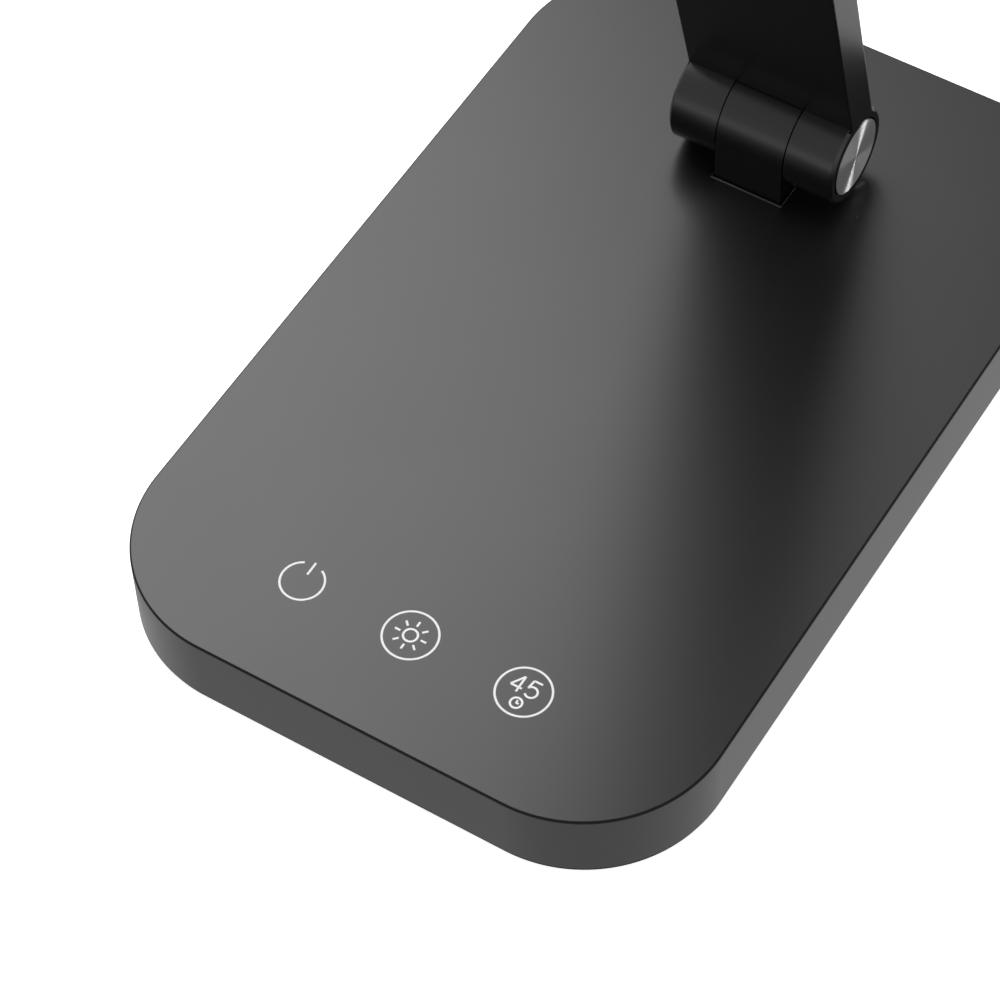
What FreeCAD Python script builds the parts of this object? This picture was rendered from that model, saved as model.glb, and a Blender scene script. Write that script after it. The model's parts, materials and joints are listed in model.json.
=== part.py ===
import FreeCAD, Part
import math
import os
import Sketcher
from FreeCAD import Placement, Rotation, Vector

# Folding LED desk lamp: a flat weighted base with three touch keys, a flat
# arm on a friction hinge near the base's back edge, and a flat LED bar on a
# second friction hinge at the arm's top.
#
# Frame: millimetres, +Z up, +X to the right as the keys are read, +Y to the
# back. The origin is the middle of the face that rests on the table.
#
# Rest pose: the arm leans forward and the LED bar points straight forward.
# The arm and what rides on it are drawn in the arm's own frame, with the
# lower hinge's axis as origin and the arm along +Z. The bar is drawn from the
# upper hinge's axis, forward along -Y.

doc = FreeCAD.newDocument("DeskLamp")
sheet = doc.addObject("Spreadsheet::Sheet", "Sizes")

SIZES = (
    ("BaseWidth", 120.0, "base, left to right"),
    ("BaseDepth", 188.0, "base, front to back"),
    ("BaseHeight", 15.4, "side wall of the base cover"),
    ("CornerRound", 28.0, "corners of the base in plan"),
    ("CoverWall", 2.2, "side wall thickness of the base cover"),
    ("CoverRoof", 2.2, "top wall thickness of the base cover"),
    ("TopEdgeRound", 0.5, "rounding of the cover's top edge"),
    ("RibWidth", 1.2, "ribs under the cover's top"),
    ("RibDeep", 1.4, "ribs under the cover's top, how far they hang"),
    ("RibSpacing", 26.0, "ribs under the cover's top, from one to the next"),
    ("FootThick", 1.0, "rubber foot sheet"),
    ("FootInset", 3.0, "rubber foot sheet, in from the cover's outline"),
    ("PlateThick", 2.0, "bottom plate"),
    ("PlatePlay", 0.15, "bottom plate to the cover's wall"),
    ("BallastThick", 5.0, "steel weight"),
    ("BallastSide", 15.5, "steel weight, in from the base's side"),
    ("BallastFront", 42.0, "steel weight, in from the base's front"),
    ("BallastBack", 17.0, "steel weight, in from the base's back"),
    ("BallastPlay", 0.2, "steel weight to its rim"),
    ("RimWidth", 1.2, "rim round the steel weight"),
    ("RimHigh", 2.0, "rim round the steel weight"),
    ("BossRadius", 3.5, "screw bosses of the cover"),
    ("BossSide", 9.5, "screw bosses, in from the base's side"),
    ("BossEnd", 34.0, "screw bosses, in from the base's ends"),
    ("ScrewRadius", 1.5, "case screws"),
    ("ScrewHead", 2.7, "case screws, head radius"),
    ("ScrewPlay", 0.1, "case screws, all round"),
    ("ScrewReach", 7.0, "case screws, length in the boss"),
    ("DrillPast", 0.4, "screw holes, deeper than the screw"),
    ("CutPast", 1.0, "openings and wire holes, cut on past the wall"),
    ("AxisSetback", 35.2, "lower hinge axis, in from the base's back"),
    ("AxisLift", 10.4, "lower hinge axis above the base's top"),
    ("BarrelRadius", 10.0, "hinge barrels"),
    ("KnuckleWidth", 14.5, "middle knuckle of each hinge"),
    ("KnuckleGap", 0.25, "middle knuckle to side knuckle"),
    ("BarrelPlay", 0.3, "round the barrels, to what swings past"),
    ("SlotPlay", 0.25, "slot of the cover round the post"),
    ("FlangeWidth", 34.0, "foot of the post, left to right"),
    ("FlangeDepth", 30.0, "foot of the post, front to back"),
    ("FlangeThick", 5.0, "foot of the post"),
    ("PostScrewRadius", 2.0, "screws of the post"),
    ("PostScrewHead", 3.8, "screws of the post, head radius"),
    ("PostScrewX", 11.5, "screws of the post, from the middle"),
    ("PostScrewY", 10.0, "screws of the post, from the axis"),
    ("PostScrewReach", 4.2, "screws of the post, length in its foot"),
    ("ShaftRadius", 4.0, "hinge shafts"),
    ("ShaftPlay", 0.05, "hinge shafts, all round"),
    ("ShaftHeadRadius", 6.0, "hinge shafts, head"),
    ("ShaftHeadThick", 2.0, "hinge shafts, head"),
    ("ShaftFlat", 3.2, "hinge shafts, flats from the axis"),
    ("ThreadRadius", 3.0, "hinge shafts, threaded end"),
    ("ThreadEnd", 0.4, "hinge shafts, thread beyond the nut"),
    ("WebThick", 3.0, "side knuckles, inner wall"),
    ("ChamberRadius", 7.0, "side knuckles, hollow end"),
    ("CapRadius", 8.0, "hinge discs"),
    ("CapThick", 1.2, "hinge discs"),
    ("CapPlay", 0.05, "hinge discs, all round"),
    ("CapSink", 0.1, "hinge discs, below the barrel's end"),
    ("FrictionRadius", 7.2, "friction washers"),
    ("FrictionSink", 0.6, "friction washers, sunk in the middle knuckle"),
    ("FrictionPlay", 0.1, "friction washers, all round"),
    ("SpringRadius", 5.8, "spring washers"),
    ("SpringThick", 0.6, "spring washers"),
    ("SpringDish", 0.4, "spring washers, height of the dish"),
    ("SpringPlay", 0.03, "spring washers, one to the next"),
    ("NutRadius", 5.77, "hinge nuts, over the corners"),
    ("NutThick", 3.2, "hinge nuts"),
    ("ArmLength", 320.0, "arm, from axis to axis"),
    ("ArmWidth", 35.8, "arm and barrels, left to right"),
    ("ArmThick", 7.7, "arm, front to back"),
    ("ArmLean", 14.0, "arm at rest, degrees forward of upright"),
    ("ArmWall", 1.6, "arm shell walls"),
    ("ArmLip", 0.8, "arm shell, lip beside the back cover"),
    ("ArmEnd", 14.0, "arm, from an axis to the channel"),
    ("ArmEdgeRound", 0.4, "arm and bar, long edges"),
    ("BarrelRim", 0.6, "bevel of the barrels' rims"),
    ("RimBevel", 0.3, "bevel of the bar's edges"),
    ("ArmCoverThick", 1.5, "back cover of the arm"),
    ("ArmCoverPlay", 0.1, "back cover of the arm, all round"),
    ("ArmLedge", 1.5, "back cover of the arm, seat at its ends"),
    ("ArmBossRadius", 2.6, "screw bosses in the arm"),
    ("ArmScrewRadius", 1.2, "screws of the arm's back cover"),
    ("ArmScrewHead", 2.1, "screws of the arm's back cover, head radius"),
    ("ArmScrewReach", 3.0, "screws of the arm's back cover, in the boss"),
    ("ArmScrewEnd", 18.0, "arm screws, in from the channel's ends"),
    ("StiffenerWidth", 18.0, "steel strip in the arm"),
    ("StiffenerThick", 1.5, "steel strip in the arm"),
    ("StiffenerEnd", 5.0, "steel strip, in from the channel's ends"),
    ("StiffenerPlay", 0.15, "steel strip, round the bosses"),
    ("WireRadius", 1.3, "inner leads"),
    ("WirePlay", 0.4, "inner leads, all round"),
    ("WireSide", 13.0, "arm lead, from the middle"),
    ("BarLength", 300.0, "LED bar, from the upper axis to its tip"),
    ("BarThick", 8.4, "LED bar"),
    ("BarPlay", 0.4, "LED bar's light side from the axis"),
    ("BarWall", 1.6, "LED bar walls"),
    ("BarRoot", 14.0, "LED bar, from the axis to its hollow"),
    ("BarTipRound", 4.0, "LED bar, corners of the tip"),
    ("DiffuserThick", 2.0, "diffuser"),
    ("DiffuserPlay", 0.1, "diffuser, all round"),
    ("ReflectorRoot", 12.0, "reflector, in from the hollow's root"),
    ("ReflectorSlot", 9.0, "reflector, half width of its slot at the LEDs"),
    ("ReflectorSlope", 35.0, "reflector, slope of its walls in degrees"),
    ("ReflectorEnd", 7.0, "reflector, in from its own ends to the slot"),
    ("LedBoardWidth", 24.0, "LED board"),
    ("LedBoardThick", 1.2, "LED board"),
    ("LedBoardEnd", 3.0, "LED board, in from the hollow's ends"),
    ("BarLeadReach", 6.0, "bar lead, run under the LED board"),
    ("LedLong", 3.5, "LEDs, along the bar"),
    ("LedWide", 2.8, "LEDs, across the bar"),
    ("LedHigh", 0.8, "LEDs"),
    ("LedPitch", 12.0, "LEDs, from one to the next"),
    ("LedRow", 5.0, "LEDs, row from the middle"),
    ("KeySetback", 22.0, "touch keys, in from the base's front"),
    ("KeySpacing", 23.45, "touch keys, from one to the next"),
    ("KeyPadRadius", 5.5, "foam pads under the keys"),
    ("KeyPadHigh", 4.2, "foam pads under the keys"),
    ("TouchBoardWidth", 84.0, "touch board"),
    ("TouchBoardDepth", 20.0, "touch board"),
    ("BoardThick", 1.6, "circuit boards"),
    ("BoardScrewIn", 4.0, "board screws, in from the boards' ends"),
    ("BoardBossRadius", 2.6, "board bosses"),
    ("BoardScrewRadius", 1.1, "board screws"),
    ("BoardScrewHead", 2.2, "board screws, head radius"),
    ("BoardScrewHigh", 1.4, "board screws, head"),
    ("BoardScrewReach", 2.6, "board screws, length in the touch board's boss"),
    ("ChipWide", 7.0, "chips on the boards"),
    ("ChipDeep", 5.0, "chips on the boards"),
    ("ChipHigh", 1.4, "chips on the boards"),
    ("PlugWide", 6.0, "wire connectors"),
    ("PlugDeep", 4.0, "wire connectors"),
    ("PlugOver", 1.0, "driver board's wire connectors, above the lead"),
    ("PlugUnder", 0.2, "touch board's wire connector, below the lead"),
    ("PlugLid", 0.4, "touch board's wire connector, above the lead"),
    ("PlugSetback", 2.0, "wire connectors, in from the driver board's front"),
    ("DriverDepth", 11.8, "driver board"),
    ("DriverBack", 0.4, "driver board to the cover's back wall"),
    ("DriverLift", 1.5, "driver board above the bottom plate"),
    ("DriverScrewReach", 1.6, "board screws, length in the plate's boss"),
    ("PartGap", 1.0, "parts on the driver board, from one to the next"),
    ("CoilRadius", 3.4, "coil on the driver board"),
    ("CoilBore", 1.1, "coil on the driver board, radius of its hole"),
    ("CoilHigh", 4.0, "coil on the driver board"),
    ("CapacitorRadius", 3.1, "capacitor on the driver board"),
    ("CapacitorHigh", 5.6, "capacitor on the driver board"),
    ("JackWidth", 9.0, "power socket"),
    ("JackHigh", 7.8, "power socket"),
    ("JackDepth", 11.6, "power socket, inside the cover"),
    ("JackNose", 3.9, "power socket, radius of its nose"),
    ("JackNosePlay", 0.15, "power socket, nose to the cover"),
    ("JackSink", 0.2, "power socket, below the cover's back"),
    ("JackBore", 2.8, "power socket, radius of its bore"),
    ("JackBoreDeep", 9.5, "power socket, depth of its bore"),
    ("JackPin", 1.05, "power socket, radius of its pin"),
    ("JackPinRoot", 0.8, "power socket, radius of the pin's root"),
    ("JackPinPlay", 0.02, "power socket, round the pin's root"),
    ("JackPinRootLong", 3.0, "power socket, length of the pin's root"),
    ("JackPinShort", 0.6, "power socket, pin below the mouth"),
    ("TouchLeadGap", 2.5, "touch lead to the foot of the post"),
    ("TouchLeadDrop", 6.0, "touch lead, run out of its connector"),
    ("LeadBend", 3.5, "inner leads, radius of their bends"),
)

WORKED_OUT = (
    ("HalfWidth", "BaseWidth / 2"),
    ("HalfDepth", "BaseDepth / 2"),
    ("PlateTop", "FootThick + PlateThick"),
    ("BallastTop", "PlateTop + BallastThick"),
    ("BaseTop", "FootThick + BaseHeight"),
    ("Ceiling", "BaseTop - CoverRoof"),
    ("BackWall", "HalfDepth - CoverWall"),
    ("BallastX", "HalfWidth - BallastSide"),
    ("BallastLow", "-HalfDepth + BallastFront"),
    ("BallastHigh", "HalfDepth - BallastBack"),
    ("BossX", "HalfWidth - BossSide"),
    ("BossY", "HalfDepth - BossEnd"),
    ("AxisY", "HalfDepth - AxisSetback"),
    ("AxisZ", "BaseTop + AxisLift"),
    ("PostHalf", "KnuckleWidth / 2"),
    ("SideKnuckle", "PostHalf + KnuckleGap"),
    ("WebFace", "SideKnuckle + WebThick"),
    ("ArmHalf", "ArmWidth / 2"),
    ("CapFace", "ArmHalf - CapSink"),
    ("CapSeat", "CapFace - CapThick"),
    ("SpringStack", "2 * SpringThick + 2 * SpringDish + 3 * SpringPlay"),
    ("NutFace", "WebFace + SpringStack"),
    ("ThreadTip", "NutFace + NutThick + ThreadEnd"),
    ("ChannelTop", "ArmLength - ArmEnd"),
    ("ArmSeat", "ArmThick - ArmCoverThick"),
    ("PivotY", "AxisY - ArmLength * sin(ArmLean)"),
    ("PivotZ", "AxisZ + ArmLength * cos(ArmLean)"),
    ("WireHole", "WireRadius + WirePlay"),
    ("BarTop", "BarPlay + BarThick"),
    ("BarCeiling", "BarTop - BarWall"),
    ("BarInside", "ArmHalf - BarWall"),
    ("BarHollowEnd", "BarLength - BarWall"),
    ("DiffuserTop", "BarPlay + DiffuserThick"),
    ("LedBoardLow", "BarCeiling - LedBoardThick"),
    ("ReflectorStart", "BarRoot + ReflectorRoot"),
    ("ReflectorStop", "BarHollowEnd - DiffuserPlay"),
    ("ReflectorHigh", "LedBoardLow - DiffuserTop"),
    ("KeyY", "-HalfDepth + KeySetback"),
    ("TouchBoardTop", "Ceiling - KeyPadHigh"),
    ("TouchBoardLow", "TouchBoardTop - BoardThick"),
    ("TouchBoardBack", "KeyY + TouchBoardDepth / 2"),
    ("TouchBossX", "TouchBoardWidth / 2 - BoardScrewIn"),
    ("DriverLow", "PlateTop + DriverLift"),
    ("DriverTop", "DriverLow + BoardThick"),
    ("DriverY", "BackWall - DriverBack - DriverDepth / 2"),
    ("DriverFront", "DriverY - DriverDepth / 2"),
    ("PlugFront", "DriverFront + PlugSetback"),
    ("TouchPlugX", "FlangeWidth / 2 + TouchLeadGap + WireRadius"),
    ("PostPlugX", "TouchPlugX - PlugWide - 2 * PartGap"),
    ("DriverBossX", "TouchPlugX + PlugWide / 2 + PartGap + BoardScrewHead"),
    ("DriverHalf", "DriverBossX + BoardScrewIn"),
    ("CapacitorX", "DriverBossX - BoardScrewHead - PartGap - CapacitorRadius"),
    ("CoilX", "CapacitorX - CapacitorRadius - PartGap - CoilRadius"),
    ("PostLeadZ", "BallastTop + WireHole"),
    ("TouchLeadZ", "BallastTop + WireRadius"),
    ("TouchPlugZ", "TouchBoardTop + WireRadius + PlugUnder"),
    ("JackZ", "DriverTop + JackHigh / 2"),
    ("JackMouth", "HalfDepth - JackSink"),
    ("JackBoreEnd", "JackMouth - JackBoreDeep"),
)

for row, (alias, value, meaning) in enumerate(SIZES, 1):
    sheet.set("A%d" % row, meaning)
    sheet.set("B%d" % row, str(value))
    sheet.setAlias("B%d" % row, alias)
for row, (alias, formula) in enumerate(WORKED_OUT, len(SIZES) + 1):
    sheet.set("A%d" % row, "worked out")
    sheet.set("B%d" % row, "=" + formula)
    sheet.setAlias("B%d" % row, alias)
doc.recompute()

ALIASES = sorted([entry[0] for entry in SIZES + WORKED_OUT], key=len, reverse=True)
pieces = []


# Writing sizes

def sized(text):
    """The same formula with each size's name pointing at the sheet."""
    words = []
    word = ""
    for letter in str(text) + " ":
        if letter.isalnum():
            word += letter
            continue
        words.append("Sizes." + word if word in ALIASES else word)
        words.append(letter)
        word = ""
    return "".join(words).strip()


def number(text):
    """A formula's value in millimetres or degrees."""
    return float(sheet.evalExpression(sized(text)))


def bind(thing, name, formula):
    thing.setExpression(name, sized(formula))


# Drawing outlines

def sketch(body, name, role, offset="0"):
    """A sketch on one of the body's own planes, moved along its normal."""
    drawing = body.newObject("Sketcher::SketchObject", name)
    plane = [one for one in body.Origin.OriginFeatures if one.Role == role][0]
    drawing.AttachmentSupport = [(plane, "")]
    drawing.MapMode = "FlatFace"
    bind(drawing, "AttachmentOffset.Base.z", offset)
    return drawing


def hold(drawing, formula, *constraint):
    """Adds a dimension that follows the formula."""
    index = drawing.addConstraint(Sketcher.Constraint(*constraint, number(formula)))
    bind(drawing, "Constraints[%d]" % index, formula)


def pin_point(drawing, line, end, x, y):
    hold(drawing, x, "DistanceX", -1, 1, line, end)
    hold(drawing, y, "DistanceY", -1, 1, line, end)


def polygon(drawing, corners):
    """Straight lines through the corners, each corner tied to the sizes."""
    spots = [Vector(number(x), number(y), 0) for x, y in corners]
    count = len(corners)
    lines = []
    for spot, after in zip(spots, spots[1:] + spots[:1]):
        lines.append(drawing.addGeometry(Part.LineSegment(spot, after), False))
    for place, line in enumerate(lines):
        after = lines[(place + 1) % count]
        drawing.addConstraint(Sketcher.Constraint("Coincident", line, 2, after, 1))
        pin_point(drawing, line, 1, *corners[place])


def rectangle(drawing, left, right, low, high):
    polygon(drawing, ((left, low), (right, low), (right, high), (left, high)))


def circle(drawing, x, y, radius):
    round_line = Part.Circle(Vector(number(x), number(y), 0), Vector(0, 0, 1), number(radius))
    index = drawing.addGeometry(round_line, False)
    pin_point(drawing, index, 3, x, y)
    hold(drawing, radius, "Radius", index)


def flatted_circle(drawing, x, y, radius, flat):
    """A circle with two flats, each the given distance from its centre."""
    middle = Vector(number(x), number(y), 0)
    r, f = number(radius), number(flat)
    lean = math.acos(f / r)
    circle_line = Part.Circle(middle, Vector(0, 0, 1), r)
    arcs = []
    for turn in (0, math.pi):
        arc = Part.ArcOfCircle(circle_line, turn + lean, turn + math.pi - lean)
        arcs.append(drawing.addGeometry(arc, False))
    lines = []
    for side in (-1, 1):
        ends_y = math.sqrt(r * r - f * f)
        low = middle + Vector(side * f, -side * ends_y, 0)
        high = middle + Vector(side * f, side * ends_y, 0)
        lines.append(drawing.addGeometry(Part.LineSegment(low, high), False))
    for line, start, end in ((lines[0], arcs[0], arcs[1]), (lines[1], arcs[1], arcs[0])):
        drawing.addConstraint(Sketcher.Constraint("Coincident", start, 2, line, 1))
        drawing.addConstraint(Sketcher.Constraint("Coincident", line, 2, end, 1))
        drawing.addConstraint(Sketcher.Constraint("Vertical", line))
    drawing.addConstraint(Sketcher.Constraint("Coincident", arcs[0], 3, arcs[1], 3))
    drawing.addConstraint(Sketcher.Constraint("Equal", arcs[0], arcs[1]))
    pin_point(drawing, arcs[0], 3, x, y)
    hold(drawing, radius, "Radius", arcs[0])
    hold(drawing, "(%s) + (%s)" % (x, flat), "DistanceX", -1, 1, lines[1], 1)
    hold(drawing, "(%s) - (%s)" % (x, flat), "DistanceX", -1, 1, lines[0], 1)


def rounded_rectangle(drawing, half_x, half_y, radius):
    """A rectangle about the origin whose corners are arcs."""
    x, y, r = number(half_x), number(half_y), number(radius)
    quarter = math.pi / 2
    lines = (
        ((-x + r, -y), (x - r, -y)),
        ((x, -y + r), (x, y - r)),
        ((x - r, y), (-x + r, y)),
        ((-x, y - r), (-x, -y + r)),
    )
    centres = ((x - r, -y + r), (x - r, y - r), (-x + r, y - r), (-x + r, -y + r))
    signs = ((1, -1), (1, 1), (-1, 1), (-1, -1))
    sides = []
    for start, end in lines:
        sides.append(drawing.addGeometry(Part.LineSegment(Vector(*start), Vector(*end)), False))
    corners = []
    for turn, centre in enumerate(centres):
        ring = Part.Circle(Vector(*centre), Vector(0, 0, 1), r)
        arc = Part.ArcOfCircle(ring, (turn - 1) * quarter, turn * quarter)
        corners.append(drawing.addGeometry(arc, False))
    for turn in range(4):
        after = sides[(turn + 1) % 4]
        drawing.addConstraint(Sketcher.Constraint("Tangent", sides[turn], 2, corners[turn], 1))
        drawing.addConstraint(Sketcher.Constraint("Tangent", corners[turn], 2, after, 1))
        across, along = signs[turn]
        x_text = "%d * (%s - (%s))" % (across, half_x, radius)
        y_text = "%d * (%s - (%s))" % (along, half_y, radius)
        pin_point(drawing, corners[turn], 3, x_text, y_text)
    hold(drawing, radius, "Radius", corners[0])
    drawing.addConstraint(Sketcher.Constraint("Horizontal", sides[0]))
    drawing.addConstraint(Sketcher.Constraint("Vertical", sides[1]))
    drawing.addConstraint(Sketcher.Constraint("Horizontal", sides[2]))


# Making solids

def new_body(label):
    body = doc.addObject("PartDesign::Body", label)
    body.Label = label
    pieces.append(body)
    return body


def pad(body, drawing, length, both=False, back=False):
    """Adds material along the sketch's normal, both ways, or against it."""
    feature = body.newObject("PartDesign::Pad", drawing.Name + "_pad")
    feature.Profile = drawing
    bind(feature, "Length", length)
    feature.SideType = "Symmetric" if both else "One side"
    feature.Reversed = back
    doc.recompute()
    return feature


def cut(body, drawing, length, both=False, along=False, slope=None):
    """Takes material away, against the sketch's normal unless along is set."""
    before = body.Shape.Volume
    feature = body.newObject("PartDesign::Pocket", drawing.Name + "_cut")
    feature.Profile = drawing
    bind(feature, "Length", length)
    feature.SideType = "Symmetric" if both else "One side"
    feature.Reversed = along
    if slope:
        bind(feature, "TaperAngle", slope)
    doc.recompute()
    if not body.Shape.Volume < before - 1e-6:
        raise RuntimeError(drawing.Name + " takes nothing away")
    return feature


def edges(feature, wanted):
    """Names of the feature's edges whose middle and box pass the test."""
    names = []
    for index, edge in enumerate(feature.Shape.Edges, 1):
        if wanted(edge, edge.BoundBox):
            names.append("Edge%d" % index)
    return names


def soften(body, kind, names, size):
    """A fillet or chamfer on the tip's named edges."""
    tip = body.Tip
    feature = body.newObject("PartDesign::" + kind, body.Label + "_" + kind.lower())
    feature.Base = (tip, names)
    bind(feature, "Size" if kind == "Chamfer" else "Radius", size)
    doc.recompute()
    return feature


def near(value, formula, play=0.001):
    return abs(value - number(formula)) < play


def box(name, x, y, z):
    """A block from low to high on each axis."""
    block = doc.addObject("Part::Box", name)
    for side, (low, high) in zip(("Length", "Width", "Height"), (x, y, z)):
        bind(block, side, "(%s) - (%s)" % (high, low))
    for axis, (low, high) in zip("xyz", (x, y, z)):
        bind(block, "Placement.Base." + axis, low)
    return block


TURNS = {
    "+X": Rotation(Vector(0, 1, 0), 90),
    "-X": Rotation(Vector(0, 1, 0), -90),
    "+Y": Rotation(Vector(1, 0, 0), -90),
    "-Y": Rotation(Vector(1, 0, 0), 90),
    "+Z": Rotation(),
    "-Z": Rotation(Vector(1, 0, 0), 180),
}


def round_bar(name, at, radius, length, way="+Z", far_radius=None):
    """A cylinder from a point along an axis, or a cone to the far radius."""
    bar = doc.addObject("Part::Cone" if far_radius else "Part::Cylinder", name)
    bind(bar, "Height", length)
    if far_radius:
        bind(bar, "Radius1", radius)
        bind(bar, "Radius2", far_radius)
    else:
        bind(bar, "Radius", radius)
    bar.Placement = Placement(Vector(), TURNS[way])
    for axis, formula in zip("xyz", at):
        bind(bar, "Placement.Base." + axis, formula)
    return bar


def ring(name, at, outer, inner, length, way="+Z"):
    washer = doc.addObject("Part::Cut", name)
    washer.Base = round_bar(name + "_outer", at, outer, length, way)
    washer.Tool = round_bar(name + "_inner", at, inner, length, way)
    return washer


def group(label, members):
    """Several separate solids under one name."""
    cluster = doc.addObject("Part::Compound", label)
    cluster.Label = label
    cluster.Links = members
    pieces.append(cluster)
    return cluster


def single(label, thing):
    thing.Label = label
    pieces.append(thing)
    return thing


def screw(name, at, way, head, radius, reach):
    """A countersunk screw: its head's face lies at the point given."""
    body = doc.addObject("Part::MultiFuse", name)
    sink = "(%s - %s)" % (head, radius)
    cone = round_bar(name + "_head", at, head, sink, way, far_radius=radius)
    shank = round_bar(name + "_shank", at, radius, "%s + %s" % (sink, reach), way)
    body.Shapes = [cone, shank]
    return body


def pan_screw(name, at, way, reach):
    """A small screw with a flat round head above the point given."""
    other = {"+Z": "-Z", "-Z": "+Z"}[way]
    body = doc.addObject("Part::MultiFuse", name)
    head = round_bar(name + "_head", at, "BoardScrewHead", "BoardScrewHigh", other)
    shank = round_bar(name + "_shank", at, "BoardScrewRadius", reach, way)
    body.Shapes = [head, shank]
    return body


def lead(label, points):
    """A wire along straight runs, with each corner cut off twice for a bend."""
    spots = [Vector(*[number(part) for part in point]) for point in points]
    bend = number("LeadBend")
    radius = number("WireRadius")
    path = [spots[0]]
    for before, corner, after in zip(spots, spots[1:], spots[2:]):
        inward = (before - corner).normalize()
        outward = (after - corner).normalize()
        half = inward.getAngle(outward) / 2
        reach = bend / math.tan(half)
        middle = (inward + outward).normalize() * (bend / math.sin(half) - bend)
        path += [corner + inward * reach, corner + middle, corner + outward * reach]
    path.append(spots[-1])
    wire = Part.makePolygon(path)
    end = Part.Wire(Part.Circle(path[0], path[1] - path[0], radius).toShape())
    shape = wire.makePipeShell([end], True, False, 1)
    section = math.pi * radius**2
    print(label, "volume over section times length", round(shape.Volume / section / wire.Length, 5))
    piece = doc.addObject("Part::Feature", label)
    piece.Shape = shape
    return piece


def on_arm(piece):
    """Stands a piece drawn in the arm's frame on the lower hinge's axis."""
    piece.Placement = Placement(Vector(), Rotation(Vector(1, 0, 0), number("ArmLean")))
    bind(piece, "Placement.Base.y", "AxisY")
    bind(piece, "Placement.Base.z", "AxisZ")
    bind(piece, "Placement.Rotation.Angle", "ArmLean")
    return piece


def on_bar(piece):
    """Hangs a piece drawn from the upper hinge's axis on that axis."""
    bind(piece, "Placement.Base.y", "PivotY")
    bind(piece, "Placement.Base.z", "PivotZ")
    return piece


# Base cover: one moulding, open below, with the slot that the post comes
# through, the socket's hole, screw bosses and stiffening ribs

cover = new_body("base_cover")
drawing = sketch(cover, "cover_outline", "XY_Plane", "FootThick")
rounded_rectangle(drawing, "HalfWidth", "HalfDepth", "CornerRound")
outside = pad(cover, drawing, "BaseHeight")
top = edges(outside, lambda edge, room: near(room.ZMin, "BaseTop") and near(room.ZMax, "BaseTop"))
soften(cover, "Fillet", top, "TopEdgeRound")
drawing = sketch(cover, "cover_hollow", "XY_Plane", "FootThick")
rounded_rectangle(drawing, "HalfWidth - CoverWall", "HalfDepth - CoverWall", "CornerRound - CoverWall")
cut(cover, drawing, "BaseHeight - CoverRoof", along=True)

drawing = sketch(cover, "cover_slot", "XY_Plane", "BaseTop")
slot_x = "PostHalf + SlotPlay"
slot_y = "BarrelRadius + SlotPlay"
rectangle(drawing, "-(%s)" % slot_x, slot_x, "AxisY - (%s)" % slot_y, "AxisY + %s" % slot_y)
cut(cover, drawing, "CoverRoof + CutPast")

drawing = sketch(cover, "cover_socket_hole", "XZ_Plane", "-HalfDepth")
circle(drawing, "0", "JackZ", "JackNose + JackNosePlay")
cut(cover, drawing, "CoverWall + CutPast", along=True)

drawing = sketch(cover, "cover_ribs_along", "XY_Plane", "Ceiling - RibDeep")
for side in (-1, 1):
    left, right = ("%d * RibSpacing - RibWidth / 2" % side, "%d * RibSpacing + RibWidth / 2" % side)
    rectangle(drawing, left, right, "BallastLow", "AxisY - RibSpacing")
pad(cover, drawing, "RibDeep")
for step in (-1, 0, 1):
    drawing = sketch(cover, "cover_rib_across_%d" % (step + 2), "XY_Plane", "Ceiling - RibDeep")
    low, high = ("%d * RibSpacing - RibWidth / 2" % step, "%d * RibSpacing + RibWidth / 2" % step)
    rectangle(drawing, "-BallastX", "BallastX", low, high)
    pad(cover, drawing, "RibDeep")

boss_places = [("%d * BossX" % side, "%d * BossY" % end) for side in (-1, 1) for end in (-1, 1)]
drawing = sketch(cover, "cover_bosses", "XY_Plane", "PlateTop")
for x, y in boss_places:
    circle(drawing, x, y, "BossRadius")
pad(cover, drawing, "Ceiling - PlateTop")
drawing = sketch(cover, "cover_boss_holes", "XY_Plane", "PlateTop")
for x, y in boss_places:
    circle(drawing, x, y, "ScrewRadius + ScrewPlay")
cut(cover, drawing, "ScrewReach + DrillPast", along=True)

drawing = sketch(cover, "cover_touch_bosses", "XY_Plane", "TouchBoardTop")
for side in (-1, 1):
    circle(drawing, "%d * TouchBossX" % side, "KeyY", "BoardBossRadius")
pad(cover, drawing, "KeyPadHigh")
drawing = sketch(cover, "cover_touch_holes", "XY_Plane", "TouchBoardTop")
for side in (-1, 1):
    circle(drawing, "%d * TouchBossX" % side, "KeyY", "BoardScrewRadius + ScrewPlay")
cut(cover, drawing, "BoardScrewReach + DrillPast", along=True)

# Bottom plate: closes the cover, carries the weight inside a rim, and has two
# bosses for the driver board

plate = new_body("base_plate")
drawing = sketch(plate, "plate_outline", "XY_Plane", "FootThick")
rounded_rectangle(
    drawing,
    "HalfWidth - CoverWall - PlatePlay",
    "HalfDepth - CoverWall - PlatePlay",
    "CornerRound - CoverWall - PlatePlay",
)
pad(plate, drawing, "PlateThick")
drawing = sketch(plate, "plate_rim", "XY_Plane", "PlateTop")
for spread in ("BallastPlay", "(BallastPlay + RimWidth)"):
    rectangle(
        drawing,
        "-BallastX - " + spread,
        "BallastX + " + spread,
        "BallastLow - " + spread,
        "BallastHigh + " + spread,
    )
pad(plate, drawing, "RimHigh")
drawing = sketch(plate, "plate_driver_bosses", "XY_Plane", "PlateTop")
for side in (-1, 1):
    circle(drawing, "%d * DriverBossX" % side, "DriverY", "BoardBossRadius")
pad(plate, drawing, "DriverLift")
drawing = sketch(plate, "plate_driver_holes", "XY_Plane", "DriverLow")
for side in (-1, 1):
    circle(drawing, "%d * DriverBossX" % side, "DriverY", "BoardScrewRadius + ScrewPlay")
cut(plate, drawing, "DriverScrewReach + DrillPast")

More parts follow.
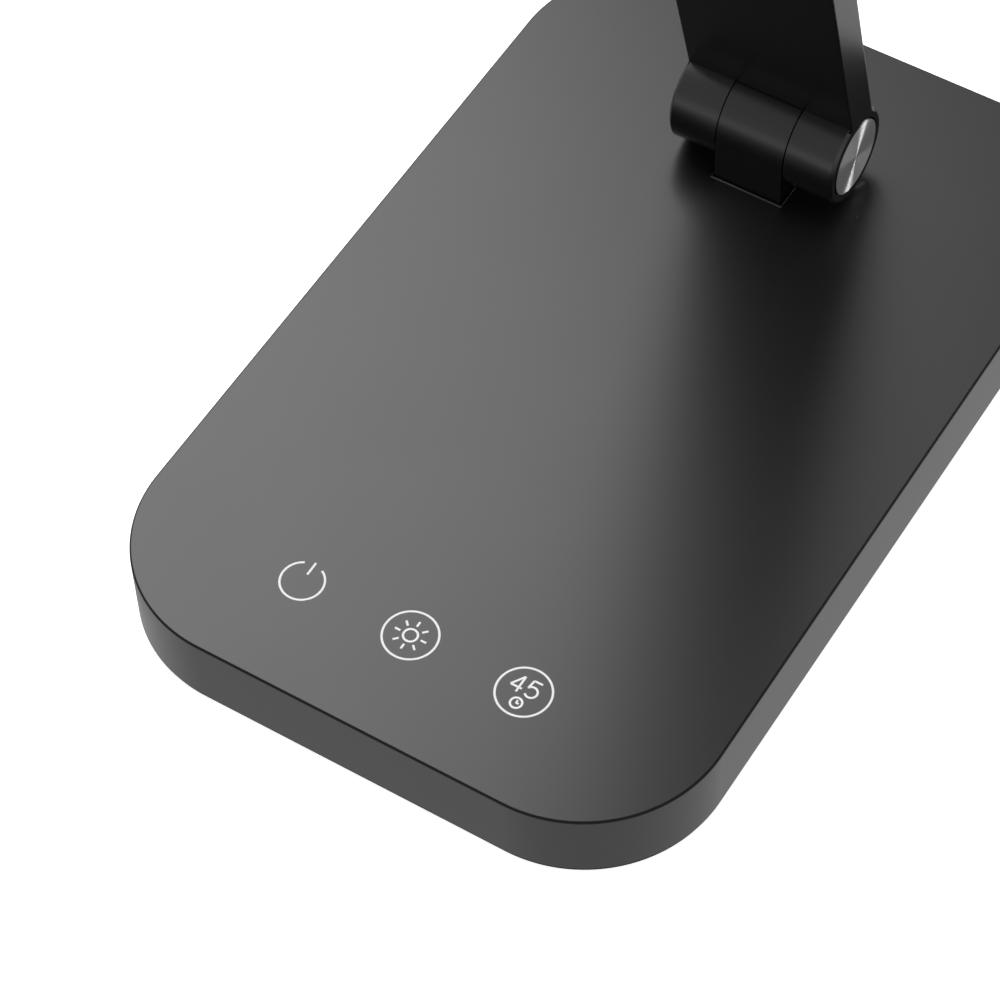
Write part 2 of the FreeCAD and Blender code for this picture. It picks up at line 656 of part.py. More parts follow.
post_screws = []
for side in (-1, 1):
    for end in (-1, 1):
        post_screws.append(("%d * PostScrewX" % side, "AxisY + %d * PostScrewY" % end))
for name, places, radius, head in (
    ("case", boss_places, "ScrewRadius", "ScrewHead"),
    ("post", post_screws, "PostScrewRadius", "PostScrewHead"),
):
    drawing = sketch(plate, "plate_%s_holes" % name, "XY_Plane", "FootThick")
    for x, y in places:
        circle(drawing, x, y, radius + " + ScrewPlay")
    cut(plate, drawing, "PlateThick", along=True)
    wide = "2 * (%s + ScrewPlay)" % radius
    rims = edges(
        plate.Tip,
        lambda edge, room: near(room.XLength, wide) and near(room.ZMax, "FootThick"),
    )
    soften(plate, "Chamfer", rims, head + " - " + radius)

# Rubber foot: one anti-slip sheet under the plate, over the screw heads

foot = new_body("rubber_foot")
drawing = sketch(foot, "foot_outline", "XY_Plane")
rounded_rectangle(drawing, "HalfWidth - FootInset", "HalfDepth - FootInset", "CornerRound - FootInset")
pad(foot, drawing, "FootThick")

# Steel weight: a plain plate with clearance holes for the post's screws

ballast = new_body("ballast_plate")
drawing = sketch(ballast, "ballast_outline", "XY_Plane", "PlateTop")
rectangle(drawing, "-BallastX", "BallastX", "BallastLow", "BallastHigh")
for x, y in post_screws:
    circle(drawing, x, y, "PostScrewRadius + ScrewPlay")
pad(ballast, drawing, "BallastThick")

# Screws of the base, all driven from below: four close the case, and four
# longer ones clamp the plate and the weight to the hinge post

members = []
for place, (x, y) in enumerate(boss_places):
    at = (x, y, "FootThick")
    reach = "PlateThick - (ScrewHead - ScrewRadius) + ScrewReach"
    members.append(screw("case_screw_%d" % place, at, "+Z", "ScrewHead", "ScrewRadius", reach))
group("case_screws", members)
members = []
for place, (x, y) in enumerate(post_screws):
    at = (x, y, "FootThick")
    reach = "PlateThick + BallastThick - (PostScrewHead - PostScrewRadius) + PostScrewReach"
    members.append(screw("post_screw_%d" % place, at, "+Z", "PostScrewHead", "PostScrewRadius", reach))
group("post_screws", members)

# Hinge post: a die casting with a flat foot on the weight, straight sides
# through the cover's slot and a round knuckle between the arm's two

post = new_body("hinge_post")
drawing = sketch(post, "post_foot", "XY_Plane", "BallastTop")
rectangle(
    drawing,
    "-FlangeWidth / 2",
    "FlangeWidth / 2",
    "AxisY - FlangeDepth / 2",
    "AxisY + FlangeDepth / 2",
)
pad(post, drawing, "FlangeThick")
drawing = sketch(post, "post_column", "YZ_Plane")
rectangle(drawing, "AxisY - BarrelRadius", "AxisY + BarrelRadius", "BallastTop", "AxisZ")
pad(post, drawing, "KnuckleWidth", both=True)
drawing = sketch(post, "post_knuckle", "YZ_Plane")
circle(drawing, "AxisY", "AxisZ", "BarrelRadius")
pad(post, drawing, "KnuckleWidth", both=True)
drawing = sketch(post, "post_bore", "YZ_Plane")
circle(drawing, "AxisY", "AxisZ", "ShaftRadius + ShaftPlay")
cut(post, drawing, "KnuckleWidth", both=True)
for side in (-1, 1):
    drawing = sketch(post, "post_recess_%d" % (side + 2), "YZ_Plane", "%d * PostHalf" % side)
    circle(drawing, "AxisY", "AxisZ", "FrictionRadius + FrictionPlay")
    cut(post, drawing, "FrictionSink", along=side < 0)
drawing = sketch(post, "post_wire_hole", "XY_Plane", "BallastTop")
circle(drawing, "0", "AxisY", "WireHole")
cut(post, drawing, "AxisZ - BallastTop", along=True)
drawing = sketch(post, "post_wire_groove", "XY_Plane", "BallastTop")
rectangle(drawing, "-WireHole", "WireHole", "AxisY", "AxisY + FlangeDepth / 2")
cut(post, drawing, "FlangeThick", along=True)
drawing = sketch(post, "post_tapped_holes", "XY_Plane", "BallastTop")
for x, y in post_screws:
    circle(drawing, x, y, "PostScrewRadius + ScrewPlay")
cut(post, drawing, "PostScrewReach + DrillPast", along=True)

# Touch board, its chip and connector, and the foam pads under the three keys

board = new_body("touch_board")
drawing = sketch(board, "touch_outline", "XY_Plane", "TouchBoardLow")
half = "TouchBoardWidth / 2"
rectangle(drawing, "-" + half, half, "KeyY - TouchBoardDepth / 2", "TouchBoardBack")
for side in (-1, 1):
    circle(drawing, "%d * TouchBossX" % side, "KeyY", "BoardScrewRadius + ScrewPlay")
pad(board, drawing, "BoardThick")
members = []
for key in (-1, 0, 1):
    at = ("%d * KeySpacing" % key, "KeyY", "TouchBoardTop")
    members.append(round_bar("touch_pad_%d" % (key + 2), at, "KeyPadRadius", "KeyPadHigh"))
group("touch_pads", members)
chip = box(
    "touch_chip_block",
    ("-ChipWide / 2", "ChipWide / 2"),
    ("KeyY - ChipDeep / 2", "KeyY + ChipDeep / 2"),
    ("TouchBoardLow - ChipHigh", "TouchBoardLow"),
)
socket = box(
    "touch_plug_block",
    ("TouchPlugX - PlugWide / 2", "TouchPlugX + PlugWide / 2"),
    ("TouchBoardBack - PlugDeep", "TouchBoardBack"),
    ("TouchBoardTop", "TouchPlugZ + WireRadius + PlugLid"),
)
group("touch_board_parts", [chip, socket])

# Driver board at the back: it carries the power socket and feeds the LEDs

driver = new_body("driver_board")
drawing = sketch(driver, "driver_outline", "XY_Plane", "DriverLow")
rectangle(drawing, "-DriverHalf", "DriverHalf", "DriverFront", "DriverY + DriverDepth / 2")
for side in (-1, 1):
    circle(drawing, "%d * DriverBossX" % side, "DriverY", "BoardScrewRadius + ScrewPlay")
pad(driver, drawing, "BoardThick")
coil = ring("coil", ("-CoilX", "DriverY", "DriverTop"), "CoilRadius", "CoilBore", "CoilHigh")
at = ("-CapacitorX", "DriverY", "DriverTop")
capacitor = round_bar("capacitor", at, "CapacitorRadius", "CapacitorHigh")
plugs = []
for name, x, height in (("post", "PostPlugX", "PostLeadZ"), ("touch", "TouchPlugX", "TouchLeadZ")):
    plugs.append(
        box(
            name + "_plug_block",
            (x + " - PlugWide / 2", x + " + PlugWide / 2"),
            ("PlugFront", "PlugFront + PlugDeep"),
            ("DriverTop", height + " + WireRadius + PlugOver"),
        )
    )
group("driver_parts", [coil, capacitor] + plugs)
members = []
for side in (-1, 1):
    at = ("%d * TouchBossX" % side, "KeyY", "TouchBoardLow")
    members.append(pan_screw("touch_screw_%d" % (side + 2), at, "+Z", "BoardThick + BoardScrewReach"))
    at = ("%d * DriverBossX" % side, "DriverY", "DriverTop")
    members.append(pan_screw("driver_screw_%d" % (side + 2), at, "-Z", "BoardThick + DriverScrewReach"))
group("board_screws", members)

# Power socket in the back wall, and its pin

jack = new_body("power_socket")
drawing = sketch(jack, "socket_block", "XZ_Plane", "-BackWall + DriverBack")
rectangle(drawing, "-JackWidth / 2", "JackWidth / 2", "DriverTop", "DriverTop + JackHigh")
pad(jack, drawing, "JackDepth")
drawing = sketch(jack, "socket_nose", "XZ_Plane", "-JackMouth")
circle(drawing, "0", "JackZ", "JackNose")
pad(jack, drawing, "JackMouth - BackWall + DriverBack")
drawing = sketch(jack, "socket_bore", "XZ_Plane", "-JackMouth")
circle(drawing, "0", "JackZ", "JackBore")
cut(jack, drawing, "JackBoreDeep", along=True)
drawing = sketch(jack, "socket_pin_hole", "XZ_Plane", "-JackBoreEnd")
circle(drawing, "0", "JackZ", "JackPinRoot + JackPinPlay")
cut(jack, drawing, "JackPinRootLong", along=True)
pin = new_body("socket_pin")
drawing = sketch(pin, "pin_profile", "XZ_Plane", "-JackBoreEnd")
circle(drawing, "0", "JackZ", "JackPin")
pad(pin, drawing, "JackBoreDeep - JackPinShort", back=True)
drawing = sketch(pin, "pin_root", "XZ_Plane", "-JackBoreEnd")
circle(drawing, "0", "JackZ", "JackPinRoot")
pad(pin, drawing, "JackPinRootLong")

# Leads inside the base, from the touch board and from the post

group(
    "base_leads",
    [
        lead(
            "touch_lead",
            (
                ("TouchPlugX", "TouchBoardBack", "TouchPlugZ"),
                ("TouchPlugX", "TouchBoardBack + TouchLeadDrop", "TouchPlugZ"),
                ("TouchPlugX", "BallastLow + TouchLeadDrop", "TouchLeadZ"),
                ("TouchPlugX", "PlugFront", "TouchLeadZ"),
            ),
        ),
        lead(
            "post_lead",
            (
                ("PostPlugX", "PlugFront", "PostLeadZ"),
                ("PostPlugX", "AxisY + FlangeDepth / 2 + LeadBend", "PostLeadZ"),
                ("0", "AxisY + FlangeDepth / 2 + LeadBend", "PostLeadZ"),
                ("0", "AxisY", "PostLeadZ"),
                ("0", "AxisY", "AxisZ - ShaftRadius - WirePlay"),
            ),
        ),
    ],
)

# Arm shell: front and sides of the arm in one moulding with the two side
# knuckles of each hinge, hollow at their ends for the spring washers and nut

shell = new_body("arm_shell")
shell.AllowCompound = True
ends = (("lower", "0"), ("upper", "ArmLength"))
for name, height in ends:
    drawing = sketch(shell, name + "_barrel", "YZ_Plane")
    circle(drawing, "0", height, "BarrelRadius")
    pad(shell, drawing, "ArmWidth", both=True)


def barrel_rim(edge, room):
    return near(abs(room.XMin), "ArmHalf") and near(abs(room.XMax), "ArmHalf")


soften(shell, "Chamfer", edges(shell.Tip, barrel_rim), "BarrelRim")
drawing = sketch(shell, "arm_slab", "XY_Plane")
bind(drawing, "AttachmentOffset.Base.y", "ArmThick / 2")
rounded_rectangle(drawing, "ArmHalf", "ArmThick / 2", "ArmEdgeRound")
pad(shell, drawing, "ArmLength")
for name, height in ends:
    drawing = sketch(shell, name + "_gap", "YZ_Plane")
    circle(drawing, "0", height, "BarrelRadius + BarrelPlay")
    cut(shell, drawing, "2 * SideKnuckle", both=True)
drawing = sketch(shell, "arm_channel", "XZ_Plane", "-ArmThick")
rectangle(drawing, "-ArmHalf + ArmWall", "ArmHalf - ArmWall", "ArmEnd", "ChannelTop")
cut(shell, drawing, "ArmThick - ArmWall", along=True)
drawing = sketch(shell, "arm_rebate", "XZ_Plane", "-ArmThick")
rectangle(drawing, "-ArmHalf + ArmLip", "ArmHalf - ArmLip", "ArmEnd - ArmLedge", "ChannelTop + ArmLedge")
cut(shell, drawing, "ArmCoverThick", along=True)
arm_screws = ("ArmEnd + ArmScrewEnd", "ChannelTop - ArmScrewEnd")
drawing = sketch(shell, "arm_bosses", "XZ_Plane", "-ArmSeat")
for height in arm_screws:
    circle(drawing, "0", height, "ArmBossRadius")
pad(shell, drawing, "ArmSeat - ArmWall")
drawing = sketch(shell, "arm_boss_holes", "XZ_Plane", "-ArmSeat")
for height in arm_screws:
    circle(drawing, "0", height, "ArmScrewRadius + ScrewPlay")
cut(shell, drawing, "ArmScrewReach + DrillPast", along=True)
for name, height in ends:
    drawing = sketch(shell, name + "_bore", "YZ_Plane", "-ArmHalf")
    circle(drawing, "0", height, "ShaftRadius + ShaftPlay")
    cut(shell, drawing, "ArmHalf", along=True)
    drawing = sketch(shell, name + "_keyed_bore", "YZ_Plane")
    flatted_circle(drawing, "0", height, "ShaftRadius + ShaftPlay", "ShaftFlat + ShaftPlay")
    cut(shell, drawing, "ArmHalf", along=True)
    for side in (-1, 1):
        drawing = sketch(shell, "%s_chamber_%d" % (name, side + 2), "YZ_Plane", "%d * ArmHalf" % side)
        circle(drawing, "0", height, "ChamberRadius")
        cut(shell, drawing, "ArmHalf - WebFace", along=side < 0)
        drawing = sketch(shell, "%s_cap_seat_%d" % (name, side + 2), "YZ_Plane", "%d * ArmHalf" % side)
        circle(drawing, "0", height, "CapRadius + CapPlay")
        cut(shell, drawing, "ArmHalf - CapSeat", along=side < 0)
for name, height, upward in (("lower", "0", True), ("upper", "ArmLength", False)):
    drawing = sketch(shell, name + "_wire_hole", "XY_Plane", height)
    circle(drawing, "-WireSide", "ArmWall + WireHole", "WireHole")
    cut(shell, drawing, "ArmEnd + CutPast", along=upward)
on_arm(shell)

# Back cover of the arm, its screws and the steel strip under it

back = new_body("arm_cover")
drawing = sketch(back, "back_outline", "XZ_Plane", "-ArmThick")
side_play = "ArmHalf - ArmLip - ArmCoverPlay"
rectangle(
    drawing,
    "-(%s)" % side_play,
    side_play,
    "ArmEnd - ArmLedge + ArmCoverPlay",
    "ChannelTop + ArmLedge - ArmCoverPlay",
)
for height in arm_screws:
    circle(drawing, "0", height, "ArmScrewRadius + ScrewPlay")
pad(back, drawing, "ArmCoverThick")


def back_hole_edge(edge, room):
    small = room.XLength < 2 * number("ArmScrewRadius + ScrewPlay") + 0.01
    return small and near(room.YMin, "ArmThick") and near(room.YMax, "ArmThick")


soften(back, "Chamfer", edges(back.Tip, back_hole_edge), "ArmScrewHead - ArmScrewRadius")
on_arm(back)
members = []
for place, height in enumerate(arm_screws):
    reach = "ArmCoverThick - (ArmScrewHead - ArmScrewRadius) + ArmScrewReach"
    at = ("0", "ArmThick", height)
    members.append(screw("arm_screw_%d" % place, at, "-Y", "ArmScrewHead", "ArmScrewRadius", reach))
on_arm(group("arm_screws", members))
strip = new_body("arm_stiffener")
drawing = sketch(strip, "strip_outline", "XZ_Plane", "-ArmWall")
rectangle(
    drawing,
    "-StiffenerWidth / 2",
    "StiffenerWidth / 2",
    "ArmEnd + StiffenerEnd",
    "ChannelTop - StiffenerEnd",
)
for height in arm_screws:
    circle(drawing, "0", height, "ArmBossRadius + StiffenerPlay")
pad(strip, drawing, "StiffenerThick", back=True)
on_arm(strip)
wire = lead(
    "arm_lead",
    (
        ("-WireSide", "ArmWall + WireHole", "ShaftHeadRadius + WirePlay"),
        ("-WireSide", "ArmWall + WireHole", "ArmLength - ShaftHeadRadius - WirePlay"),
    ),
)
on_arm(single("arm_lead", wire))

# Friction hinges: a shaft keyed to the arm turns in the middle knuckle, and
# dished spring washers under the nut squeeze the friction washers

shafts = []
springs = []
nuts = []
discs = []
for name, height in ends:
    shaft = doc.addObject("PartDesign::Body", name + "_shaft")
    drawing = sketch(shaft, name + "_shaft_profile", "XY_Plane", height)
    polygon(
        drawing,
        (
            ("-WebFace - ShaftHeadThick", "0"),
            ("ThreadTip", "0"),
            ("ThreadTip", "ThreadRadius"),
            ("WebFace - ShaftPlay", "ThreadRadius"),
            ("WebFace - ShaftPlay", "ShaftRadius"),
            ("-WebFace", "ShaftRadius"),
            ("-WebFace", "ShaftHeadRadius"),
            ("-WebFace - ShaftHeadThick", "ShaftHeadRadius"),
        ),
    )
    turned = shaft.newObject("PartDesign::Revolution", name + "_shaft_turned")
    turned.Profile = drawing
    turned.ReferenceAxis = (drawing, ["H_Axis"])
    turned.Angle = 360
    doc.recompute()
    drawing = sketch(shaft, name + "_shaft_bore", "YZ_Plane", "-WebFace - ShaftHeadThick")
    circle(drawing, "0", height, "WireHole")
    cut(shaft, drawing, "WebFace + ShaftHeadThick + WireHole", along=True)
    drawing = sketch(shaft, name + "_shaft_flats", "YZ_Plane", "SideKnuckle")
    for side in (-1, 1):
        flat, outside = ("%d * ShaftFlat" % side, "%d * 2 * ShaftRadius" % side)
        low, high = (height + " - 2 * ShaftRadius", height + " + 2 * ShaftRadius")
        rectangle(drawing, flat, outside, low, high)
    cut(shaft, drawing, "WebThick", along=True)
    drawing = sketch(shaft, name + "_shaft_window", "XY_Plane", height)
    circle(drawing, "0", "0", "WireHole")
    cut(shaft, drawing, "2 * ShaftRadius", both=True)
    shafts.append(shaft)

    # two washers with their hollow sides together
    first = "WebFace + SpringPlay + SpringDish"
    second = first + " + SpringThick + SpringPlay"
    for place, (flat, dish) in enumerate(((first, " - SpringDish"), (second, " + SpringDish"))):
        profile = doc.addObject("Sketcher::SketchObject", "%s_spring_%d_profile" % (name, place))
        inner = flat + dish
        polygon(
            profile,
            (
                (inner, "ThreadRadius + ShaftPlay"),
                (inner + " + SpringThick", "ThreadRadius + ShaftPlay"),
                (flat + " + SpringThick", "SpringRadius"),
                (flat, "SpringRadius"),
            ),
        )
        washer = doc.addObject("Part::Revolution", "%s_spring_%d" % (name, place))
        washer.Source = profile
        washer.Axis = Vector(1, 0, 0)
        washer.Angle = 360
        washer.Solid = True
        bind(washer, "Placement.Base.z", height)
        springs.append(washer)

    hexagon = doc.addObject("Part::Prism", name + "_nut_hexagon")
    hexagon.Polygon = 6
    bind(hexagon, "Circumradius", "NutRadius")
    bind(hexagon, "Height", "NutThick")
    hexagon.Placement = Placement(Vector(), TURNS["+X"])
    bind(hexagon, "Placement.Base.x", "NutFace")
    bind(hexagon, "Placement.Base.z", height)
    nut = doc.addObject("Part::Cut", name + "_nut")
    nut.Base = hexagon
    at = ("NutFace", "0", height)
    nut.Tool = round_bar(name + "_nut_thread", at, "ThreadRadius + ShaftPlay", "NutThick", "+X")
    nuts.append(nut)

    for side, way in ((-1, "-X"), (1, "+X")):
        at = ("%d * CapSeat" % side, "0", height)
        discs.append(round_bar("%s_disc_%d" % (name, side + 2), at, "CapRadius", "CapThick", way))

    washers = []
    for side, way in ((-1, "+X"), (1, "-X")):
        label = "%s_friction_%d" % (name, side + 2)
        at = ("%d * SideKnuckle" % side, "0", "0")
        hole = "ShaftRadius + ShaftPlay"
        washers.append(ring(label, at, "FrictionRadius", hole, "FrictionSink + KnuckleGap", way))
    pair = group(name + "_friction_washers", washers)
    bind(pair, "Placement.Base.y", "AxisY" if name == "lower" else "PivotY")
    bind(pair, "Placement.Base.z", "AxisZ" if name == "lower" else "PivotZ")
for label, members in (
    ("hinge_shafts", shafts),
    ("spring_washers", springs),
    ("hinge_nuts", nuts),
    ("hinge_discs", discs),
):
    on_arm(group(label, members))

# LED bar: a shell with the upper hinge's middle knuckle, open on the light side

bar = new_body("bar_shell")
drawing = sketch(bar, "bar_slab", "XY_Plane", "BarPlay")
rectangle(drawing, "-ArmHalf", "ArmHalf", "-BarLength", "0")
pad(bar, drawing, "BarThick")


def tip_corner(edge, room):
    return near(room.YMin, "-BarLength") and near(room.YMax, "-BarLength") and room.ZLength > 1


soften(bar, "Fillet", edges(bar.Tip, tip_corner), "BarTipRound")


def bar_rim(edge, room):
    return room.ZLength < 0.001 and room.YMin < -number("BarrelRadius")


soften(bar, "Chamfer", edges(bar.Tip, bar_rim), "RimBevel")
for side in (-1, 1):
    drawing = sketch(bar, "bar_clearance_%d" % (side + 2), "YZ_Plane", "%d * PostHalf" % side)
    circle(drawing, "0", "0", "BarrelRadius + BarrelPlay")
    cut(bar, drawing, "ArmHalf - PostHalf", along=side > 0)
drawing = sketch(bar, "bar_knuckle", "YZ_Plane")
circle(drawing, "0", "0", "BarrelRadius")
pad(bar, drawing, "KnuckleWidth", both=True)
drawing = sketch(bar, "bar_hollow", "XY_Plane", "BarPlay")
rectangle(drawing, "-BarInside", "BarInside", "-BarHollowEnd", "-BarRoot")
cut(bar, drawing, "BarThick - BarWall", along=True)
drawing = sketch(bar, "bar_bore", "YZ_Plane")
circle(drawing, "0", "0", "ShaftRadius + ShaftPlay")
cut(bar, drawing, "KnuckleWidth", both=True)
for side in (-1, 1):
    drawing = sketch(bar, "bar_recess_%d" % (side + 2), "YZ_Plane", "%d * PostHalf" % side)
    circle(drawing, "0", "0", "FrictionRadius + FrictionPlay")
    cut(bar, drawing, "FrictionSink", along=side < 0)
drawing = sketch(bar, "bar_wire_hole", "XZ_Plane")
circle(drawing, "0", "LedBoardLow - WireHole", "WireHole")
cut(bar, drawing, "BarRoot + CutPast", along=True)
on_bar(bar)

# Inside the bar: LED board under the top wall, sloped white reflector, diffuser

board = new_body("led_board")
drawing = sketch(board, "led_board_outline", "XY_Plane", "LedBoardLow")
half = "LedBoardWidth / 2"
rectangle(drawing, "-" + half, half, "-BarHollowEnd + LedBoardEnd", "-BarRoot - LedBoardEnd")
pad(board, drawing, "LedBoardThick")
on_bar(board)
tone = {"warm": [], "cool": []}
room_for_leds = number("ReflectorStop - ReflectorStart - 2 * ReflectorEnd")
led_count = int(room_for_leds / number("LedPitch"))
for place in range(led_count):
    for side in (-1, 1):
        kind = "warm" if (place + (side + 1) // 2) % 2 else "cool"
        middle = "-(ReflectorStart + ReflectorStop) / 2 + %.1f * LedPitch" % (place - (led_count - 1) / 2)
        x = "%d * LedRow" % side
        tone[kind].append(
            box(
                "%s_led_%d_%d" % (kind, place, side + 2),
                (x + " - LedWide / 2", x + " + LedWide / 2"),
                (middle + " - LedLong / 2", middle + " + LedLong / 2"),
                ("LedBoardLow - LedHigh", "LedBoardLow"),
            )
        )
for kind, members in tone.items():
    on_bar(group(kind + "_leds", members))
reflector = new_body("reflector")
drawing = sketch(reflector, "reflector_outline", "XY_Plane", "DiffuserTop")
side_play = "BarInside - DiffuserPlay"
rectangle(drawing, "-(%s)" % side_play, side_play, "-ReflectorStop", "-ReflectorStart")
pad(reflector, drawing, "ReflectorHigh")
drawing = sketch(reflector, "reflector_slot", "XY_Plane", "LedBoardLow")
rectangle(
    drawing,
    "-ReflectorSlot",
    "ReflectorSlot",
    "-ReflectorStop + ReflectorEnd",
    "-ReflectorStart - ReflectorEnd",
)
cut(reflector, drawing, "ReflectorHigh", slope="ReflectorSlope")
on_bar(reflector)
diffuser = new_body("diffuser")
drawing = sketch(diffuser, "diffuser_outline", "XY_Plane", "BarPlay")
rectangle(
    drawing,
    "-(%s)" % side_play,
    side_play,
    "-BarHollowEnd + DiffuserPlay",
    "-BarRoot - DiffuserPlay",
)
pad(diffuser, drawing, "DiffuserThick")
on_bar(diffuser)
wire = lead(
    "bar_lead",
    (
        ("0", "-BarRoot - LedBoardEnd - BarLeadReach", "LedBoardLow - WireHole"),
        ("0", "-ShaftRadius - WirePlay", "LedBoardLow - WireHole"),
    ),
)
on_bar(single("bar_lead", wire))

# Checking and writing

doc.recompute()
for thing in doc.Objects:
    if "Invalid" in thing.State or "Error" in thing.State:
        raise RuntimeError("%s is in state %s" % (thing.Name, thing.State))
bad = [one.Label for one in pieces if one.Shape.isNull() or not one.Shape.isValid() or not one.Shape.Solids]
if bad:
    raise RuntimeError("no valid shape in " + ", ".join(bad))
os.makedirs("parts", exist_ok=True)
for piece in pieces:
    piece.Shape.exportStep("parts/%s.step" % piece.Label)
    print("%-26s %3d solids %12.2f mm3" % (piece.Label, len(piece.Shape.Solids), piece.Shape.Volume))
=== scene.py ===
import json
import math

import bmesh
import bpy
from mathutils import Matrix, Vector


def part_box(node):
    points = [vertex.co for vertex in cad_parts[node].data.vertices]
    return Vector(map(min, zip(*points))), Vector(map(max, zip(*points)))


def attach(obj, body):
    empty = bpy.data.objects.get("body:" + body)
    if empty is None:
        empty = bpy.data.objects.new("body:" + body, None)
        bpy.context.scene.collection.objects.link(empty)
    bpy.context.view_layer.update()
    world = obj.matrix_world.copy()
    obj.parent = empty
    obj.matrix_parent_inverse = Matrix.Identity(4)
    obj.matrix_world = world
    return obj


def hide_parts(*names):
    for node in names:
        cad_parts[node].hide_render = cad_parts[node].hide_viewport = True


# A folding LED desk lamp, all satin black: a flat weighted base with three
# touch keys, a flat arm on a friction hinge near the base's back edge, and a
# flat LED bar on a second friction hinge at the arm's top.

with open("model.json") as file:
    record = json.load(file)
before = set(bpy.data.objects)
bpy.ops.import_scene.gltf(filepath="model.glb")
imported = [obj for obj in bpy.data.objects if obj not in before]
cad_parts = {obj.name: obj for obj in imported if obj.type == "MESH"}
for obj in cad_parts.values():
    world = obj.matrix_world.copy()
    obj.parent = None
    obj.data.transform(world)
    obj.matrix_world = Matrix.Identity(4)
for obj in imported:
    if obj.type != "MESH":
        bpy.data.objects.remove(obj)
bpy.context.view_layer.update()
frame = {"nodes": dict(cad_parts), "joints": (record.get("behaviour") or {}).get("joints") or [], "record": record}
nodes = frame["nodes"]

# Camera: it stands where the photograph was taken from, to the front right of
# the base and above it, and its long lens sees the base and the lower hinge.

AZIMUTH = math.radians(33.838)
ELEVATION = math.radians(53.956)
ROLL = math.radians(2.649)
DISTANCE = 0.70756
AIM = Vector((-0.0023, -0.03872, 0.0164))
LENS = 139.13
NEAREST = 0.01

towards = Vector((math.sin(AZIMUTH), -math.cos(AZIMUTH), 0)) * math.cos(ELEVATION)
towards.z = math.sin(ELEVATION)
level = Vector((math.cos(AZIMUTH), math.sin(AZIMUTH), 0))
axes = Matrix((level, towards.cross(level), towards)).transposed()
camera = bpy.data.objects.new("camera", bpy.data.cameras.new("camera"))
camera.data.lens = LENS
camera.data.clip_start = NEAREST
rolled = (axes @ Matrix.Rotation(-ROLL, 3, "Z")).to_4x4()
camera.matrix_world = Matrix.Translation(AIM + towards * DISTANCE) @ rolled
bpy.context.collection.objects.link(camera)
bpy.context.scene.camera = camera
bpy.context.scene.view_settings.view_transform = "Standard"

# Studio: a pale floor, soft light from all round and three softboxes. The camera
# sees plain white, and mirrors see a bright front horizon, a dark back and a floor
# with a painted shadow at the left, as if behind a flag. Under the base the floor
# is painted black, as painted shade.


def new_nodes(tree):
    """Returns a call that adds one shader node with its inputs set or linked."""

    def add(kind, settings=None, **inputs):
        node = tree.nodes.new("ShaderNode" + kind)
        for name, value in (settings or {}).items():
            setattr(node, name, value)
        for name, value in inputs.items():
            name = name.replace("_", " ")
            socket = node.inputs[int(name[1:])] if name[1:].isdigit() else node.inputs[name]
            if isinstance(value, bpy.types.NodeSocket):
                tree.links.new(value, socket)
            else:
                socket.default_value = value
        return node

    return add


def seen_directly(add):
    """1 for a camera, mirror or glass ray, and 0 for a ray that carries light."""
    path = add("LightPath").outputs
    larger = {"operation": "MAXIMUM"}
    either = add("Math", larger, i0=path["Is Camera Ray"], i1=path["Is Glossy Ray"])
    return add("Math", larger, i0=either.outputs[0], i1=path["Is Transmission Ray"]).outputs[0]


def blank_material(name):
    """A material without nodes, and the call that adds them."""
    material = bpy.data.materials.new(name)
    material.use_nodes = True
    material.node_tree.nodes.clear()
    return material, new_nodes(material.node_tree)


WHITE = (1, 1, 1, 1)
BLACK = (0, 0, 0, 1)
SURROUND = 0.4
MIRRORED_FRONT = 0.75
MIRRORED_BACK = 0.25
FADE_FROM = 0.0
FADE_TO = 0.7
HORIZON_GLARE = 1.9
GLARE_FROM = 0.1
GLARE_TO = 0.35
FLOOR_COLOUR = (0.8, 0.8, 0.8, 1)
FLOOR_GLOW = 0.85
MIRRORED_FLOOR = 0.77
# Mirrored floor glow inside the painted shadow at the left, and where that painted shadow's edge runs.
MIRRORED_PAINTED_SHADOW = 0.5
PAINTED_SHADOW_EDGE = -0.068
PAINTED_SHADOW_END = -0.052
FOOTPRINT_CORE = (0.032, 0.066, 0)
FOOTPRINT_ROUND = 0.0276
FLOOR_HALF = 6.0

world = bpy.data.worlds.new("studio")
bpy.context.scene.world = world
world.use_nodes = True
world.node_tree.nodes.clear()
add = new_nodes(world.node_tree)
path = add("LightPath")
way = add("SeparateXYZ", Vector=add("TexCoord").outputs["Generated"])
fade = add(
    "MapRange", i0=way.outputs["Y"], i1=FADE_FROM, i2=FADE_TO, i3=MIRRORED_FRONT, i4=MIRRORED_BACK
)
rise = add("MapRange", i0=way.outputs["Z"], i1=GLARE_FROM, i2=GLARE_TO, i3=HORIZON_GLARE, i4=1.0)
reflected = add("Math", {"operation": "MULTIPLY"}, i0=fade.outputs[0], i1=rise.outputs[0])
seen = add("MapRange", i0=path.outputs["Is Glossy Ray"], i3=1.0, i4=reflected.outputs[0])
light = add("Background", Color=WHITE, Strength=SURROUND)
backdrop = add("Background", Color=WHITE, Strength=seen.outputs[0])
either = add("MixShader", i0=seen_directly(add), i1=light.outputs[0], i2=backdrop.outputs[0])
add("OutputWorld", Surface=either.outputs[0])

